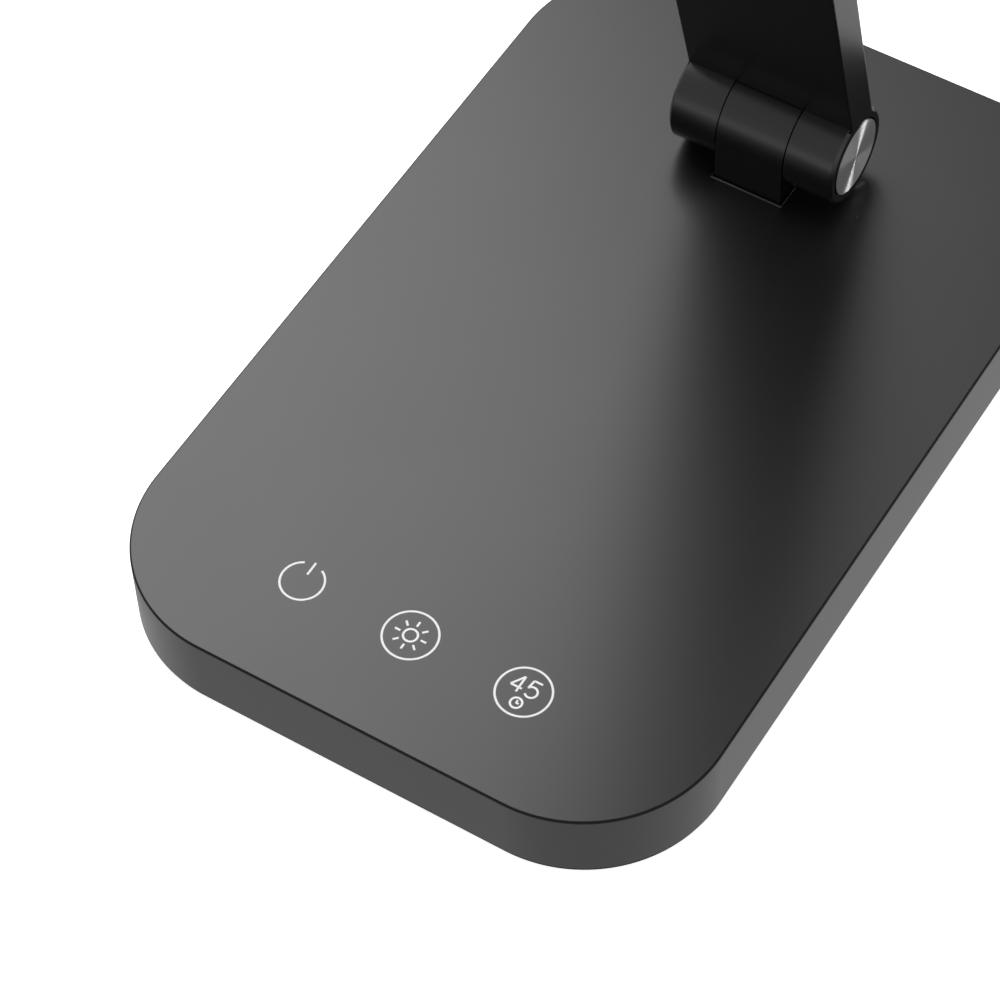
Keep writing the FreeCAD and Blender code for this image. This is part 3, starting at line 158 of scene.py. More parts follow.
paper, add = blank_material("pale_floor")
matt = add("BsdfDiffuse", Color=FLOOR_COLOUR)
glow = add("Emission", Color=WHITE, Strength=FLOOR_GLOW)
lit = add("AddShader", i0=matt.outputs[0], i1=glow.outputs[0])
spot = add("TexCoord").outputs["Object"]
aside = add("SeparateXYZ", Vector=spot)
# Painted shadow: mirrors see the floor dimmer left of a line, as if behind a flag.
painted_shadow = add(
    "MapRange",
    i0=aside.outputs["X"],
    i1=PAINTED_SHADOW_EDGE,
    i2=PAINTED_SHADOW_END,
    i3=MIRRORED_PAINTED_SHADOW,
    i4=MIRRORED_FLOOR,
)
mirrored = add("Emission", Color=WHITE, Strength=painted_shadow.outputs[0])
path = add("LightPath")
glossy = path.outputs["Is Glossy Ray"]
direct = add("MixShader", i0=glossy, i1=lit.outputs[0], i2=mirrored.outputs[0])
open_floor = add("MixShader", i0=seen_directly(add), i1=matt.outputs[0], i2=direct.outputs[0])
# Painted shade: inside the base's footprint the floor is plain black for every ray.
folded = add("VectorMath", {"operation": "ABSOLUTE"}, i0=spot)
past = add("VectorMath", {"operation": "SUBTRACT"}, i0=folded.outputs[0], i1=FOOTPRINT_CORE)
past = add("VectorMath", {"operation": "MAXIMUM"}, i0=past.outputs[0], i1=(0, 0, 0))
reach = add("VectorMath", {"operation": "LENGTH"}, i0=past.outputs[0])
outside = add("Math", {"operation": "GREATER_THAN"}, i0=reach.outputs["Value"], i1=FOOTPRINT_ROUND)
painted_shade = add("BsdfDiffuse", Color=BLACK)
either = add("MixShader", i0=outside.outputs[0], i1=painted_shade.outputs[0], i2=open_floor.outputs[0])
add("OutputMaterial", Surface=either.outputs[0])

shape = bmesh.new()
bmesh.ops.create_grid(shape, x_segments=1, y_segments=1, size=FLOOR_HALF)
floor = bpy.data.objects.new("floor", bpy.data.meshes.new("floor"))
shape.to_mesh(floor.data)
shape.free()
floor.data.materials.append(paper)
bpy.context.collection.objects.link(floor)


def softbox(name, place, aim, width, height, power):
    """A rectangular lamp that faces the point it is aimed at."""
    lamp = bpy.data.lights.new(name, "AREA")
    lamp.shape = "RECTANGLE"
    lamp.size = width
    lamp.size_y = height
    lamp.energy = power
    box = bpy.data.objects.new(name, lamp)
    away = (Vector(place) - Vector(aim)).normalized()
    box.matrix_world = Matrix.Translation(place) @ away.to_track_quat("Z", "Y").to_matrix().to_4x4()
    bpy.context.collection.objects.link(box)


COVER_MIDDLE = (0, 0, 0.02)
RIGHT_DISC = (0.018, 0.059, 0.027)

softbox("back_softbox", (-0.70, 0.41, 0.90), COVER_MIDDLE, width=0.87, height=0.87, power=11.2)
softbox("edge_softbox", (-0.32, 0.88, 0.98), COVER_MIDDLE, width=0.17, height=0.25, power=0.22)
softbox("side_softbox", (0.35, 0.96, 0.06), RIGHT_DISC, width=0.74, height=0.1, power=12.0)

# Base cover: one moulding in fine matt black plastic, open below, with large
# round corners, painted shade on the top edge's rounding, whose reflection is turned
# down so that it reads as a fine dark line, and a slot with a fine raised lip that
# the hinge post comes through.

MM = 0.001
CORNER_ROUND = 28 * MM
COVER_WALL = 2.2 * MM
TOP_EDGE_ROUND = 0.44 * MM
SLOT_PLAY = 0.25 * MM
LIP_WIDTH = 0.35 * MM
LIP_HEIGHT = 0.28 * MM
LIP_ROUND = 0.25 * MM
SOCKET_HOLE = 4.05 * MM
KNUCKLE_HALF = 7.25 * MM
CORNER_STEPS = 32
FACING_DOWN = -0.9
UNDERSIDE_AREA = 0.001
SOFT_ANGLE = math.radians(32)
NOISE_LOW = 0.3
NOISE_HIGH = 0.7
GRAIN_STRENGTH = 0.25
FLOW_SCALE = 45.0
FLOW_SWING = 0.005
PLASTIC_SHINE = 0.5
# Specular level of the painted shade on the cover's rounded top edge.
PAINTED_SHADE_SHINE = 0.18
EDGE_TILT = 0.5
EDGE_TILT_REACH = 0.49
COVER_BLACK = (0.005, 0.005, 0.005, 1)
COVER_ROUGHNESS = 0.31
COVER_GRAIN = 0.22 * MM
COVER_GRAIN_DEPTH = 0.008 * MM
HAIR = 0.01 * MM


def spread(add, noise, low, high):
    """Spreads the middle of a noise's range over the span between two values."""
    return add(
        "MapRange", i0=noise.outputs["Fac"], i1=NOISE_LOW, i2=NOISE_HIGH, i3=low, i4=high
    ).outputs[0]


def moulded_plastic(name, colour, roughness, grain, depth, painted_shade_below=None):
    """Moulded plastic: a fine grain and faint flow in its gloss, and, where a height is
    given, painted shade on the rounded upper edges below it: their reflection is turned down."""
    material, add = blank_material(name)
    place = add("TexCoord").outputs["Object"]
    pores = add("TexNoise", Vector=place, Scale=1 / grain, Detail=3.0, Roughness=0.6)
    flow = add("TexNoise", Vector=place, Scale=FLOW_SCALE, Detail=2.0)
    gloss = spread(add, flow, roughness - FLOW_SWING, roughness + FLOW_SWING)
    bump = add("Bump", Height=pores.outputs["Fac"], Strength=GRAIN_STRENGTH, Distance=depth)
    skin = add(
        "BsdfPrincipled",
        Base_Color=colour,
        Roughness=gloss,
        Normal=bump.outputs[0],
        IOR=1.5,
    )
    # Painted shade: the reflection is turned down on rounded edges below the given height, so that they read as
    # dark lines.
    if painted_shade_below:
        turned = add("SeparateXYZ", Vector=add("TexCoord").outputs["Normal"])
        rounding = add(
            "Math",
            {"operation": "COMPARE"},
            i0=turned.outputs["Z"],
            i1=EDGE_TILT,
            i2=EDGE_TILT_REACH,
        )
        height = add("SeparateXYZ", Vector=place)
        low = add("Math", {"operation": "LESS_THAN"}, i0=height.outputs["Z"], i1=painted_shade_below)
        painted_shade_edge = add("Math", {"operation": "MULTIPLY"}, i0=rounding.outputs[0], i1=low.outputs[0])
        shine = add("MapRange", i0=painted_shade_edge.outputs[0], i3=PLASTIC_SHINE, i4=PAINTED_SHADE_SHINE)
        material.node_tree.links.new(shine.outputs[0], skin.inputs["Specular IOR Level"])
    add("OutputMaterial", Surface=skin.outputs[0])
    return material


def as_object(name, shape):
    """Makes a bmesh an object of the scene."""
    piece = bpy.data.objects.new(name, bpy.data.meshes.new(name))
    shape.to_mesh(piece.data)
    shape.free()
    bpy.context.collection.objects.link(piece)
    return piece


def combine(piece, other, way):
    """Cuts the other mesh from the piece, or joins it on, and drops the other."""
    boolean = piece.modifiers.new("combine", "BOOLEAN")
    boolean.operation = way
    boolean.solver = "EXACT"
    boolean.object = other
    settle(piece)
    bpy.data.objects.remove(other)


def settle(piece):
    """Makes what the piece's modifiers give its real mesh."""
    view = bpy.context.evaluated_depsgraph_get()
    mesh = bpy.data.meshes.new_from_object(piece.evaluated_get(view))
    piece.modifiers.clear()
    old = piece.data
    piece.data = mesh
    bpy.data.meshes.remove(old)


def finish(piece, material, body, slot, *replaced):
    """Smooth shading with crisp flats, the finish, and the piece's place in the frame."""
    piece.data.materials.clear()
    piece.data.materials.append(material)
    for face in piece.data.polygons:
        face.use_smooth = True
    piece.data.set_sharp_from_angle(angle=SOFT_ANGLE)
    piece.modifiers.new("flats", "WEIGHTED_NORMAL").keep_sharp = True
    settle(piece)
    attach(piece, body)
    if replaced:
        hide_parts(*replaced)


def block(low, high):
    """A box between two corners."""
    shape = bmesh.new()
    size = Vector(high) - Vector(low)
    middle = (Vector(high) + Vector(low)) / 2
    stretch = Matrix.Translation(middle) @ Matrix.Diagonal(size).to_4x4()
    bmesh.ops.create_cube(shape, size=1, matrix=stretch)
    return shape


def rod(start, way, radius, length, segments=64):
    """A closed cylinder from a point along a direction."""
    shape = bmesh.new()
    turn = Vector(way).to_track_quat("Z", "Y").to_matrix().to_4x4()
    spot = Matrix.Translation(Vector(start)) @ turn @ Matrix.Translation((0, 0, length / 2))
    bmesh.ops.create_cone(
        shape,
        cap_ends=True,
        segments=segments,
        radius1=radius,
        radius2=radius,
        depth=length,
        matrix=spot,
    )
    return shape


def round_edges(shape, edges, offset, segments, clamp_overlap=False):
    """Rounds edges: a clamp keeps the rounds from running past each other."""
    bmesh.ops.bevel(
        shape,
        geom=edges,
        offset=offset,
        segments=segments,
        profile=0.5,
        affect="EDGES",
        clamp_overlap=clamp_overlap,
        material=-1,
    )


cover_low, cover_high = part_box("base_cover")
base_plastic = moulded_plastic(
    "base_plastic",
    COVER_BLACK,
    COVER_ROUGHNESS,
    COVER_GRAIN,
    COVER_GRAIN_DEPTH,
    painted_shade_below=cover_high.z + HAIR,
)
post_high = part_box("hinge_post")[1]
socket_low, socket_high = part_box("power_socket")
axis_y = frame["joints"][0]["pos_m"][1]
axis_z = frame["joints"][0]["pos_m"][2]
barrel_radius = post_high.z - axis_z

shape = bmesh.new()
half_size = Matrix.Diagonal((cover_high.x, cover_high.y, 1, 1))
outline = Matrix.Translation((0, 0, cover_low.z)) @ half_size
bmesh.ops.create_grid(shape, x_segments=1, y_segments=1, size=1, matrix=outline)
bmesh.ops.bevel(
    shape,
    geom=shape.verts[:],
    offset=CORNER_ROUND,
    segments=CORNER_STEPS,
    profile=0.5,
    affect="VERTICES",
    material=-1,
)
raised = bmesh.ops.extrude_face_region(shape, geom=shape.faces[:], use_keep_orig=True)["geom"]
risen = [item for item in raised if isinstance(item, bmesh.types.BMVert)]
bmesh.ops.translate(shape, vec=(0, 0, cover_high.z - cover_low.z), verts=risen)
bmesh.ops.recalc_face_normals(shape, faces=shape.faces[:])
rim = [edge for edge in shape.edges if min(vert.co.z for vert in edge.verts) > cover_high.z - HAIR]
round_edges(shape, rim, TOP_EDGE_ROUND, segments=5)
underside = [face for face in shape.faces if face.normal.z < FACING_DOWN]
bmesh.ops.inset_region(shape, faces=underside, thickness=COVER_WALL, use_even_offset=True)
underside = [face for face in shape.faces if face.normal.z < FACING_DOWN]
opening = [face for face in underside if face.calc_area() > UNDERSIDE_AREA]
deep = cover_high.z - COVER_WALL - cover_low.z
grown = bmesh.ops.extrude_face_region(shape, geom=opening)["geom"]
risen = [item for item in grown if isinstance(item, bmesh.types.BMVert)]
bmesh.ops.translate(shape, vec=(0, 0, deep), verts=risen)
bmesh.ops.recalc_face_normals(shape, faces=shape.faces[:])
cover = as_object("cover", shape)

slot_x = KNUCKLE_HALF + SLOT_PLAY
slot_y = barrel_radius + SLOT_PLAY
slot_low = (-slot_x, axis_y - slot_y, cover_high.z - 2 * COVER_WALL)
slot_high = (slot_x, axis_y + slot_y, cover_high.z + COVER_WALL)
slot_cutter = as_object("slot_cutter", block(slot_low, slot_high))
lip_x = slot_x + LIP_WIDTH
lip_y = slot_y + LIP_WIDTH
lip_low = (-lip_x, axis_y - lip_y, cover_high.z - COVER_WALL / 2)
lip_high = (lip_x, axis_y + lip_y, cover_high.z + LIP_HEIGHT)
shape = block(lip_low, lip_high)
rim = [edge for edge in shape.edges if all(vert.co.z > cover_high.z for vert in edge.verts)]
round_edges(shape, rim, LIP_ROUND, segments=3)
combine(cover, as_object("lip", shape), "UNION")
combine(cover, slot_cutter, "DIFFERENCE")
socket_z = (socket_low.z + socket_high.z) / 2
hole_start = (0, cover_high.y - 2 * COVER_WALL, socket_z)
hole_cutter = as_object("hole_cutter", rod(hole_start, (0, 1, 0), SOCKET_HOLE, 4 * COVER_WALL))
combine(cover, hole_cutter, "DIFFERENCE")
finish(cover, base_plastic, "base", "base_plastic", "base_cover")

# Touch signs: white ink printed on the cover over the three keys, which are a
# power sign, a sun for the light's mode and a timer of plain numbers.

SIGN_LINE = 0.42 * MM
INK_HIGH = 0.012 * MM
INK_GREY = 0.86
INK_WHITE = 0.94
INK_ROUGHNESS = 0.45
DOT_SCALE = 9000.0
CLOSED_WITHIN = 1e-7
SIGN_Y = -72.28 * MM
POWER_X = -23.58 * MM
MODE_X = -0.38 * MM
TIMER_X = 23.36 * MM
POWER_RADIUS = 4.13 * MM
KEY_RADIUS = 5.18 * MM
POWER_GAP = math.radians(27)
POWER_BAR_FROM = 1.65 * MM
POWER_BAR_TO = 4.6 * MM
SUN_RADIUS = 1.35 * MM
SUN_RAYS = 8
RAY_FROM = 2.15 * MM
RAY_TO = 3.3 * MM
RING_STEPS = 72
SMALL_STEPS = 32
POWER_STEPS = 64
FULL_TURN = 2 * math.pi


def around(x, y, radius, turn):
    """The point at an angle round a middle, taken from the rear, clockwise."""
    return x + radius * math.sin(turn), y + radius * math.cos(turn)


def arc(x, y, radius, start, end, count):
    """Points along an arc, from one angle to another."""
    turns = [start + (end - start) * step / count for step in range(count + 1)]
    return [around(x, y, radius, turn) for turn in turns]


def ink(name, lines):
    """Printed lines: each is a list of points, closed where its ends meet."""
    curve = bpy.data.curves.new(name, "CURVE")
    curve.dimensions = "3D"
    curve.bevel_depth = SIGN_LINE / 2
    curve.bevel_resolution = 3
    curve.use_fill_caps = True
    for points in lines:
        closed = math.dist(points[0], points[-1]) < CLOSED_WITHIN
        points = points[:-1] if closed else points
        spline = curve.splines.new("POLY")
        spline.points.add(len(points) - 1)
        spline.use_cyclic_u = closed
        for point, spot in zip(spline.points, points):
            point.co = (*spot, 0, 1)
    drawn = bpy.data.objects.new(name, curve)
    bpy.context.collection.objects.link(drawn)
    view = bpy.context.evaluated_depsgraph_get()
    mesh = bpy.data.meshes.new_from_object(drawn.evaluated_get(view))
    bpy.data.objects.remove(drawn)
    flatten = Matrix.Diagonal((1, 1, 2 * INK_HIGH / SIGN_LINE, 1))
    mesh.transform(Matrix.Translation((0, 0, cover_high.z)) @ flatten)
    piece = bpy.data.objects.new(name, mesh)
    bpy.context.collection.objects.link(piece)
    return piece


white_ink, add = blank_material("white_ink")
place = add("TexCoord").outputs["Object"]
screen_dots = add("TexNoise", Vector=place, Scale=DOT_SCALE, Detail=2.0)
tone = spread(add, screen_dots, INK_GREY, INK_WHITE)
print_colour = add("CombineColor", Red=tone, Green=tone, Blue=tone)
skin = add("BsdfPrincipled", Base_Color=print_colour.outputs[0], Roughness=INK_ROUGHNESS)
add("OutputMaterial", Surface=skin.outputs[0])

power = [
    arc(POWER_X, SIGN_Y, POWER_RADIUS, POWER_GAP, FULL_TURN - POWER_GAP, POWER_STEPS),
    [(POWER_X, SIGN_Y + POWER_BAR_FROM), (POWER_X, SIGN_Y + POWER_BAR_TO)],
]
finish(ink("power_sign", power), white_ink, "base", "sign_ink")
mode = [
    arc(MODE_X, SIGN_Y, KEY_RADIUS, 0, FULL_TURN, RING_STEPS),
    arc(MODE_X, SIGN_Y, SUN_RADIUS, 0, FULL_TURN, SMALL_STEPS),
]
for step in range(SUN_RAYS):
    turn = FULL_TURN * step / SUN_RAYS
    mode.append([around(MODE_X, SIGN_Y, reach, turn) for reach in (RAY_FROM, RAY_TO)])
finish(ink("mode_sign", mode), white_ink, "base", "sign_ink")
timer = [arc(TIMER_X, SIGN_Y, KEY_RADIUS, 0, FULL_TURN, RING_STEPS)]
finish(ink("timer_ring", timer), white_ink, "base", "sign_ink")

# The timer's numbers lie a little behind its ring's centre, over a small clock.
# Their lines are in mm about each mark's own middle, whose place is in mm too.
FOUR_PLACE = (-1.72, 1.2)
FIVE_PLACE = (1.18, 1.2)
CLOCK_PLACE = (0.0, -2.6)

four = [
    [(0.42, -1.78), (0.42, 1.78)],
    [(0.42, 1.78), (-1.25, -0.78)],
    [(-1.25, -0.78), (1.08, -0.78)],
]
five = [
    [(1.0, 1.78), (-0.72, 1.78)],
    [(-0.72, 1.78), (-0.94, 0.1)],
    arc(0, -0.6, 1.16, math.radians(-62), math.radians(232), 20),
]
clock = [arc(0, 0, 1.1, 0, FULL_TURN, SMALL_STEPS), [(0, 0.62), (0, 0), (0.52, 0)]]
timer_marks = []
for lines, (x, y) in ((four, FOUR_PLACE), (five, FIVE_PLACE), (clock, CLOCK_PLACE)):
    for points in lines:
        timer_marks.append([(TIMER_X + (x + px) * MM, SIGN_Y + (y + py) * MM) for px, py in points])
finish(ink("timer_sign", timer_marks), white_ink, "base", "sign_ink")

# Underside: the bottom plate closes the cover, and one thin anti-slip sheet of
# black rubber lies over the plate and its screws.

EDGE_BREAK = 0.15 * MM
FINE_EDGE_BREAK = 0.06 * MM
MERGE_WITHIN = 0.001 * MM
FLAT_ANGLE = math.radians(0.5)
SHARP_ANGLE = math.radians(40)
PLATE_BLACK = (0.012, 0.012, 0.012, 1)
DARK_GREY = (0.02, 0.02, 0.02, 1)


def dress(node, name, material, body, edge_break=0.0, cutters=()):
    """A merged copy of a CAD piece, with its sharp edges just broken and any recesses cut."""
    shape = bmesh.new()
    shape.from_mesh(nodes[node].data)
    bmesh.ops.remove_doubles(shape, verts=shape.verts[:], dist=MERGE_WITHIN)
    bmesh.ops.dissolve_limit(
        shape,
        angle_limit=FLAT_ANGLE,
        verts=shape.verts[:],
        edges=shape.edges[:],
        use_dissolve_boundaries=False,
    )
    if edge_break:
        convex = [edge for edge in shape.edges if edge.is_convex]
        sharp = [edge for edge in convex if edge.calc_face_angle(0) > SHARP_ANGLE]
        round_edges(shape, sharp, edge_break, segments=2, clamp_overlap=True)
    piece = as_object(name, shape)
    for cutter in cutters:
        combine(piece, cutter, "DIFFERENCE")
    slots = {part["node"]: part["material_slot"] for part in frame["record"]["subparts"]}
    finish(piece, material, body, slots[node], node)


def rubber(name, colour, roughness, grain):
    """Soft black rubber with a fine grip texture."""
    material, add = blank_material(name)
    place = add("TexCoord").outputs["Object"]
    dimples = add("TexVoronoi", Vector=place, Scale=1 / grain)
    bump = add("Bump", Height=dimples.outputs["Distance"], Strength=0.6, Distance=grain / 6)
    skin = add("BsdfPrincipled", Base_Color=colour, Roughness=roughness, Normal=bump.outputs[0])
    add("OutputMaterial", Surface=skin.outputs[0])
    return material


plate_plastic = moulded_plastic(
    "plate_plastic", PLATE_BLACK, roughness=0.5, grain=0.35 * MM, depth=0.03 * MM
)
dress("base_plate", "bottom_plate", plate_plastic, "base", EDGE_BREAK)
foot_rubber = rubber("foot_rubber", DARK_GREY, roughness=0.75, grain=0.6 * MM)
dress("rubber_foot", "grip_sheet", foot_rubber, "base", EDGE_BREAK)

# Inside the base: the steel weight and its screws, the two circuit boards with
# their parts, the foam pads under the keys, and the leads between them.

METAL_SWING = 0.06
COPPER_RUN = 0.06
MASK_ROUGHNESS = 0.3
MASK_GREEN = (0.015, 0.12, 0.05, 1)
RUN_GREEN = (0.05, 0.25, 0.1, 1)
ROLLED_STEEL = (0.42, 0.42, 0.43, 1)
ZINC_PLATE = (0.5, 0.5, 0.5, 1)
FOAM_GREY = (0.06, 0.06, 0.06, 1)


def metal(name, colour, roughness, grain, stretch):
    """Bare metal with fine lines: stretch draws the grain out along one or more axes."""
    material, add = blank_material(name)
    place = add("TexCoord").outputs["Object"]
    drawn = add("Mapping", Vector=place, Scale=stretch)
    lines = add("TexNoise", Vector=drawn.outputs[0], Scale=1 / grain, Detail=3.0)
    gloss = spread(add, lines, roughness - METAL_SWING, roughness + METAL_SWING)
    bump = add("Bump", Height=lines.outputs["Fac"], Strength=0.2, Distance=grain / 20)
    skin = add(
        "BsdfPrincipled",
        Base_Color=colour,
        Metallic=1.0,
        Roughness=gloss,
        Normal=bump.outputs[0],
    )
    add("OutputMaterial", Surface=skin.outputs[0])
    return material


def board_mask(name, mask, trace, pitch):
    """A circuit board's solder mask, with the copper runs showing through it."""
    material, add = blank_material(name)
    place = add("TexCoord").outputs["Object"]
    runs = add(
        "TexBrick",
        Vector=place,
        Scale=1 / pitch,
        Color1=mask,
        Color2=mask,
        Mortar=trace,
        Mortar_Size=COPPER_RUN,
    )
    skin = add("BsdfPrincipled", Base_Color=runs.outputs["Color"], Roughness=MASK_ROUGHNESS)
    add("OutputMaterial", Surface=skin.outputs[0])
    return material


weight_steel = metal(
    "weight_steel", ROLLED_STEEL, roughness=0.4, grain=0.4 * MM, stretch=(1, 0.05, 1)
)
screw_steel = metal(
    "screw_steel", ZINC_PLATE, roughness=0.32, grain=0.3 * MM, stretch=(1, 1, 0.2)
)
circuit_board = board_mask("circuit_board", MASK_GREEN, RUN_GREEN, pitch=3 * MM)
electronic_parts = moulded_plastic(
    "electronic_parts", DARK_GREY, roughness=0.4, grain=0.1 * MM, depth=0.01 * MM
)
key_foam = rubber("key_foam", FOAM_GREY, roughness=0.9, grain=0.3 * MM)
lead_sheath = rubber("lead_sheath", DARK_GREY, roughness=0.5, grain=0.2 * MM)
for node, name, material in (
    ("ballast_plate", "steel_weight", weight_steel),
    ("case_screws", "case_fixings", screw_steel),
    ("post_screws", "post_fixings", screw_steel),
    ("board_screws", "board_fixings", screw_steel),
    ("touch_board", "touch_circuit", circuit_board),
    ("driver_board", "driver_circuit", circuit_board),
    ("touch_board_parts", "touch_components", electronic_parts),
    ("driver_parts", "driver_components", electronic_parts),
    ("touch_pads", "key_pads", key_foam),
    ("base_leads", "base_wires", lead_sheath),
):
    dress(node, name, material, "base")

# Power socket in the back wall: a black moulded nose round a nickel-plated pin,
# for the low-voltage plug of an adapter.

SOCKET_BLACK = (0.01, 0.01, 0.01, 1)
NICKEL = (0.7, 0.68, 0.64, 1)

socket_plastic = moulded_plastic(
    "socket_plastic", SOCKET_BLACK, roughness=0.35, grain=0.2 * MM, depth=0.01 * MM
)
contact_metal = metal(
    "contact_metal", NICKEL, roughness=0.15, grain=0.2 * MM, stretch=(1, 0.1, 1)
)
dress("power_socket", "dc_socket", socket_plastic, "base", EDGE_BREAK)
dress("socket_pin", "dc_pin", contact_metal, "base", EDGE_BREAK)

# Hinge post: a die casting in satin black paint, whose straight neck comes up
# through the cover and whose round knuckle sits between the arm's two. A nylon
# friction washer is sunk in each side of the knuckle.

NYLON = (0.7, 0.68, 0.62, 1)

post_metal = moulded_plastic(
    "post_metal", COVER_BLACK, roughness=0.28, grain=0.25 * MM, depth=0.006 * MM
)
dress("hinge_post", "post", post_metal, "base", FINE_EDGE_BREAK)
friction_plastic = moulded_plastic(
    "friction_plastic", NYLON, roughness=0.5, grain=0.2 * MM, depth=0.01 * MM
)
dress("lower_friction_washers", "lower_brake_washers", friction_plastic, "base")

# Arm: front and sides are one satin black moulding with the side knuckles of
# both hinges, each with a stepped groove round its disc. Two countersunk screws
# hold the flat back cover, and the hinges' steel parts sit in the knuckles.

GROOVE_RADIUS = 8.25 * MM
GROOVE_DEPTH = 0.5 * MM
RIM_STEPS = 128
TURNED_STEEL = (0.55, 0.55, 0.56, 1)

arm_plastic = moulded_plastic(
    "arm_plastic", COVER_BLACK, roughness=0.27, grain=0.22 * MM, depth=0.006 * MM
)
arm_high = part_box("arm_shell")[1]
grooves = []
for joint in frame["joints"]:
    centre = Vector(joint["pos_m"])
    for side in (-1, 1):
        start = (side * (arm_high.x - GROOVE_DEPTH), centre.y, centre.z)
        ring = rod(start, (side, 0, 0), GROOVE_RADIUS, 2 * GROOVE_DEPTH, RIM_STEPS)
        grooves.append(as_object("groove", ring))
dress("arm_shell", "arm", arm_plastic, "arm", FINE_EDGE_BREAK, grooves)
dress("arm_cover", "arm_back", arm_plastic, "arm", EDGE_BREAK)
hinge_steel = metal(
    "hinge_steel", TURNED_STEEL, roughness=0.3, grain=0.2 * MM, stretch=(1, 1, 1)
)
for node, name, material in (
    ("arm_stiffener", "arm_strip", weight_steel),
    ("arm_lead", "arm_wire", lead_sheath),
    ("hinge_shafts", "hinge_pins", hinge_steel),
    ("spring_washers", "hinge_springs", hinge_steel),
    ("hinge_nuts", "hinge_locknuts", hinge_steel),
):
    dress(node, name, material, "arm")

# Arm screws: two small countersunk screws in black-passivated zinc hold the back
# cover, each with a cross recess.

CROSS_LONG = 2.4 * MM
CROSS_WIDE = 0.6 * MM
CROSS_DEEP = 0.8 * MM
PASSIVATED_BLACK = (0.05, 0.05, 0.052, 1)

black_zinc = metal(
    "black_zinc", PASSIVATED_BLACK, roughness=0.35, grain=0.3 * MM, stretch=(1, 1, 0.2)
)
sideways = Vector((1, 0, 0))
lower_hinge, upper_hinge = (Vector(joint["pos_m"]) for joint in frame["joints"])
up_arm = (upper_hinge - lower_hinge).normalized()
backward = up_arm.cross(sideways)
tilt = Matrix((up_arm, sideways, backward)).transposed().to_4x4()
points = [vert.co for vert in nodes["arm_screws"].data.vertices]
surface = max(point.dot(backward) for point in points)
heights = [point.dot(up_arm) for point in points if surface - point.dot(backward) < HAIR]
halfway = (min(heights) + max(heights)) / 2
lower_head = [height for height in heights if height < halfway]
upper_head = [height for height in heights if height > halfway]
crosses = []
for head in (lower_head, upper_head):
    centre = up_arm * (min(head) + max(head)) / 2 + backward * surface
    for along, across in ((CROSS_LONG, CROSS_WIDE), (CROSS_WIDE, CROSS_LONG)):
        size = Vector((along, across, 2 * CROSS_DEEP))
        shape = block(-size / 2, size / 2)
        bmesh.ops.transform(shape, matrix=Matrix.Translation(centre) @ tilt, verts=shape.verts[:])
        crosses.append(as_object("recess", shape))
dress("arm_screws", "arm_fixings", black_zinc, "arm", cutters=crosses)

# Hinge discs: spun aluminium pressed into the barrels' ends, with their rim
# painted near black as painted shade of the groove round them. The fine rings left
# by the lathe spread each light into a bright wedge.

RING_PITCH = 0.16 * MM
DISC_RADIUS = 7.85 * MM
DISC_THICK = 1.4 * MM
DISC_PROUD = 0.2 * MM
DISC_EDGE_BREAK = 0.08 * MM
FACE_TURN = 0.9
FACE_DARK = 0.22
FACE_BRIGHT = 0.28
# Near black of the painted shade on the disc's rim, for the groove round it.
PAINTED_GROOVE_SHADE = 0.004
METAL_SHARE = 0.5
DISC_ROUGHNESS = 0.52


def spun_aluminium(name, centre):
    """Aluminium faced on a lathe, with its grooves round the given point of the axis."""
    material, add = blank_material(name)
    place = add("TexCoord").outputs["Object"]
    offset = add("VectorMath", {"operation": "SUBTRACT"}, i0=place, i1=centre)
    flat = add("VectorMath", {"operation": "MULTIPLY"}, i0=offset.outputs[0], i1=(0, 1, 1))
    outward = add("VectorMath", {"operation": "NORMALIZE"}, i0=flat.outputs[0])
    radius = add("VectorMath", {"operation": "LENGTH"}, i0=flat.outputs[0])
    rings = add(
        "TexNoise",
        {"noise_dimensions": "1D"},
        W=radius.outputs["Value"],
        Scale=1 / RING_PITCH,
        Detail=2.0,
    )
    bump = add("Bump", Height=rings.outputs["Fac"], Strength=0.12, Distance=0.01 * MM)
    turned = add("SeparateXYZ", Vector=add("TexCoord").outputs["Normal"])
    lengthwise = add("Math", {"operation": "ABSOLUTE"}, i0=turned.outputs["X"])
    bare = add("Math", {"operation": "GREATER_THAN"}, i0=lengthwise.outputs[0], i1=FACE_TURN)
    shine = spread(add, rings, FACE_DARK, FACE_BRIGHT)
    # Painted shade: off the flat face, the disc's rim and edge break are near black, for the groove round the
    # disc.
    tone = add("MapRange", i0=bare.outputs[0], i3=PAINTED_GROOVE_SHADE, i4=shine)
    metal_share = add("Math", {"operation": "MULTIPLY"}, i0=bare.outputs[0], i1=METAL_SHARE)
    colour = add("CombineColor", Red=tone.outputs[0], Green=tone.outputs[0], Blue=tone.outputs[0])
    skin = add(
        "BsdfPrincipled",
        Base_Color=colour.outputs[0],
        Metallic=metal_share.outputs[0],
        Roughness=DISC_ROUGHNESS,
        Anisotropic=1.0,
        Tangent=outward.outputs[0],
        Normal=bump.outputs[0],
    )
    add("OutputMaterial", Surface=skin.outputs[0])
    return material


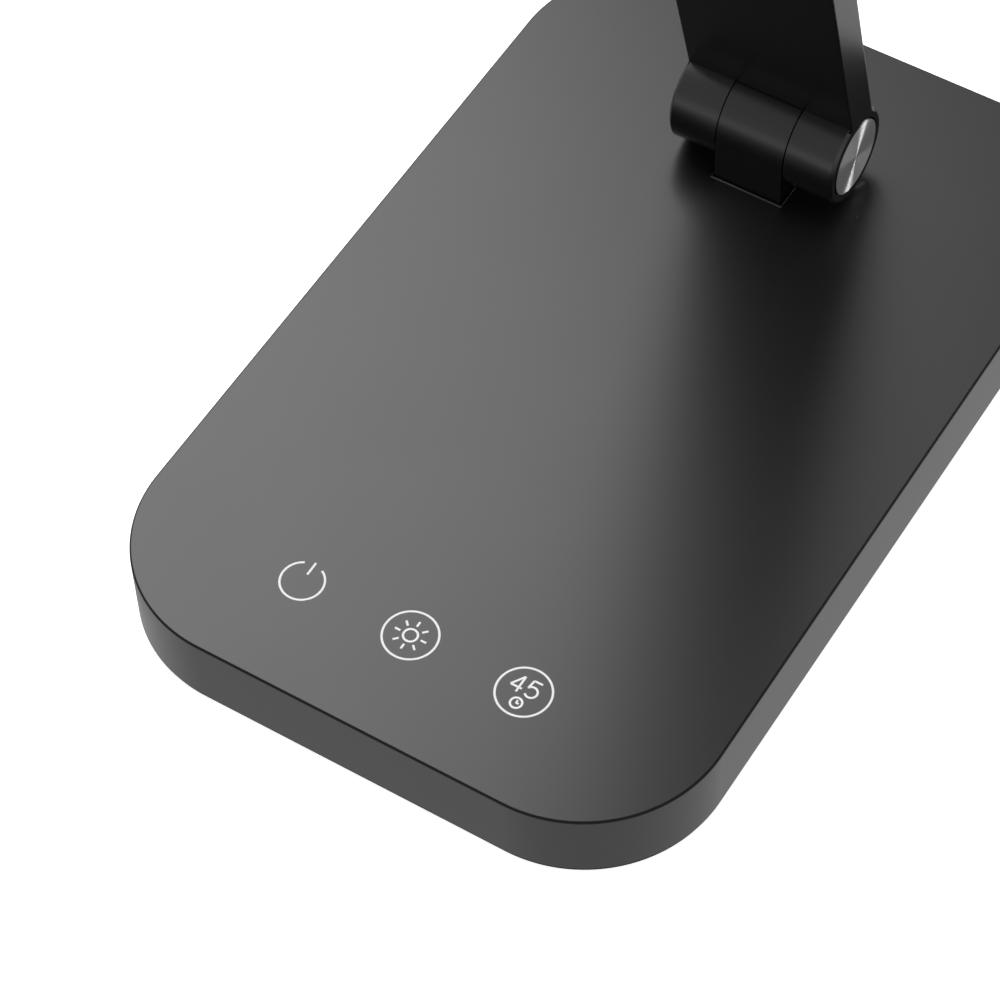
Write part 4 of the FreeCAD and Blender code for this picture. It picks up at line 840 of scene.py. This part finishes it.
disc_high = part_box("hinge_discs")[1]
for joint, name in zip(frame["joints"], ("lower", "upper")):
    centre = Vector(joint["pos_m"])
    shape = bmesh.new()
    for side in (-1, 1):
        face = side * (disc_high.x + DISC_PROUD)
        middle = (face, centre.y, centre.z)
        turned = rod(middle, (-side, 0, 0), DISC_RADIUS, DISC_THICK, RIM_STEPS)
        mesh = bpy.data.meshes.new("turned")
        turned.to_mesh(mesh)
        turned.free()
        shape.from_mesh(mesh)
        bpy.data.meshes.remove(mesh)
    sharp = [edge for edge in shape.edges if edge.calc_face_angle(0) > SHARP_ANGLE]
    round_edges(shape, sharp, DISC_EDGE_BREAK, segments=2)
    finished = spun_aluminium(name + "_spun_aluminium", centre)
    finish(as_object(name + "_discs", shape), finished, "arm", "spun_aluminium", "hinge_discs")

# LED bar: a satin black shell with the upper hinge's middle knuckle. Its light
# side is closed by an opal diffuser over the white tray and the LEDs.

FROST_SCALE = 4000.0
OPAL_WHITE = (0.86, 0.86, 0.85, 1)
TRAY_WHITE = (0.82, 0.82, 0.82, 1)
WARM_PHOSPHOR = (0.85, 0.62, 0.2, 1)
COOL_PHOSPHOR = (0.85, 0.82, 0.42, 1)
MASK_WHITE = (0.8, 0.8, 0.8, 1)
TRACE_GREY = (0.7, 0.7, 0.68, 1)

dress("bar_shell", "bar", arm_plastic, "light_bar", FINE_EDGE_BREAK)
dress("upper_friction_washers", "upper_brake_washers", friction_plastic, "light_bar")


def opal(name, colour, roughness, scatter, depth):
    """Pale plastic that lets light in: scatter is the share that wanders below the surface."""
    material, add = blank_material(name)
    place = add("TexCoord").outputs["Object"]
    frost = add("TexNoise", Vector=place, Scale=FROST_SCALE, Detail=2.0)
    bump = add("Bump", Height=frost.outputs["Fac"], Strength=0.2, Distance=0.01 * MM)
    skin = add(
        "BsdfPrincipled",
        Base_Color=colour,
        Roughness=roughness,
        Subsurface_Weight=scatter,
        Subsurface_Radius=(depth, depth, depth),
        Subsurface_Scale=1.0,
        Normal=bump.outputs[0],
    )
    add("OutputMaterial", Surface=skin.outputs[0])
    return material


opal_plastic = opal("opal_plastic", OPAL_WHITE, roughness=0.35, scatter=0.5, depth=1.5 * MM)
white_plastic = opal("white_plastic", TRAY_WHITE, roughness=0.4, scatter=0.1, depth=0.5 * MM)
warm_led = opal("warm_led", WARM_PHOSPHOR, roughness=0.3, scatter=0.3, depth=0.3 * MM)
cool_led = opal("cool_led", COOL_PHOSPHOR, roughness=0.3, scatter=0.3, depth=0.3 * MM)
led_board_metal = board_mask("led_board_metal", MASK_WHITE, TRACE_GREY, pitch=5 * MM)
for node, name, material in (
    ("diffuser", "opal_diffuser", opal_plastic),
    ("reflector", "light_tray", white_plastic),
    ("led_board", "led_strip", led_board_metal),
    ("warm_leds", "warm_light", warm_led),
    ("cool_leds", "cool_light", cool_led),
    ("bar_lead", "bar_wire", lead_sheath),
):
    dress(node, name, material, "light_bar")
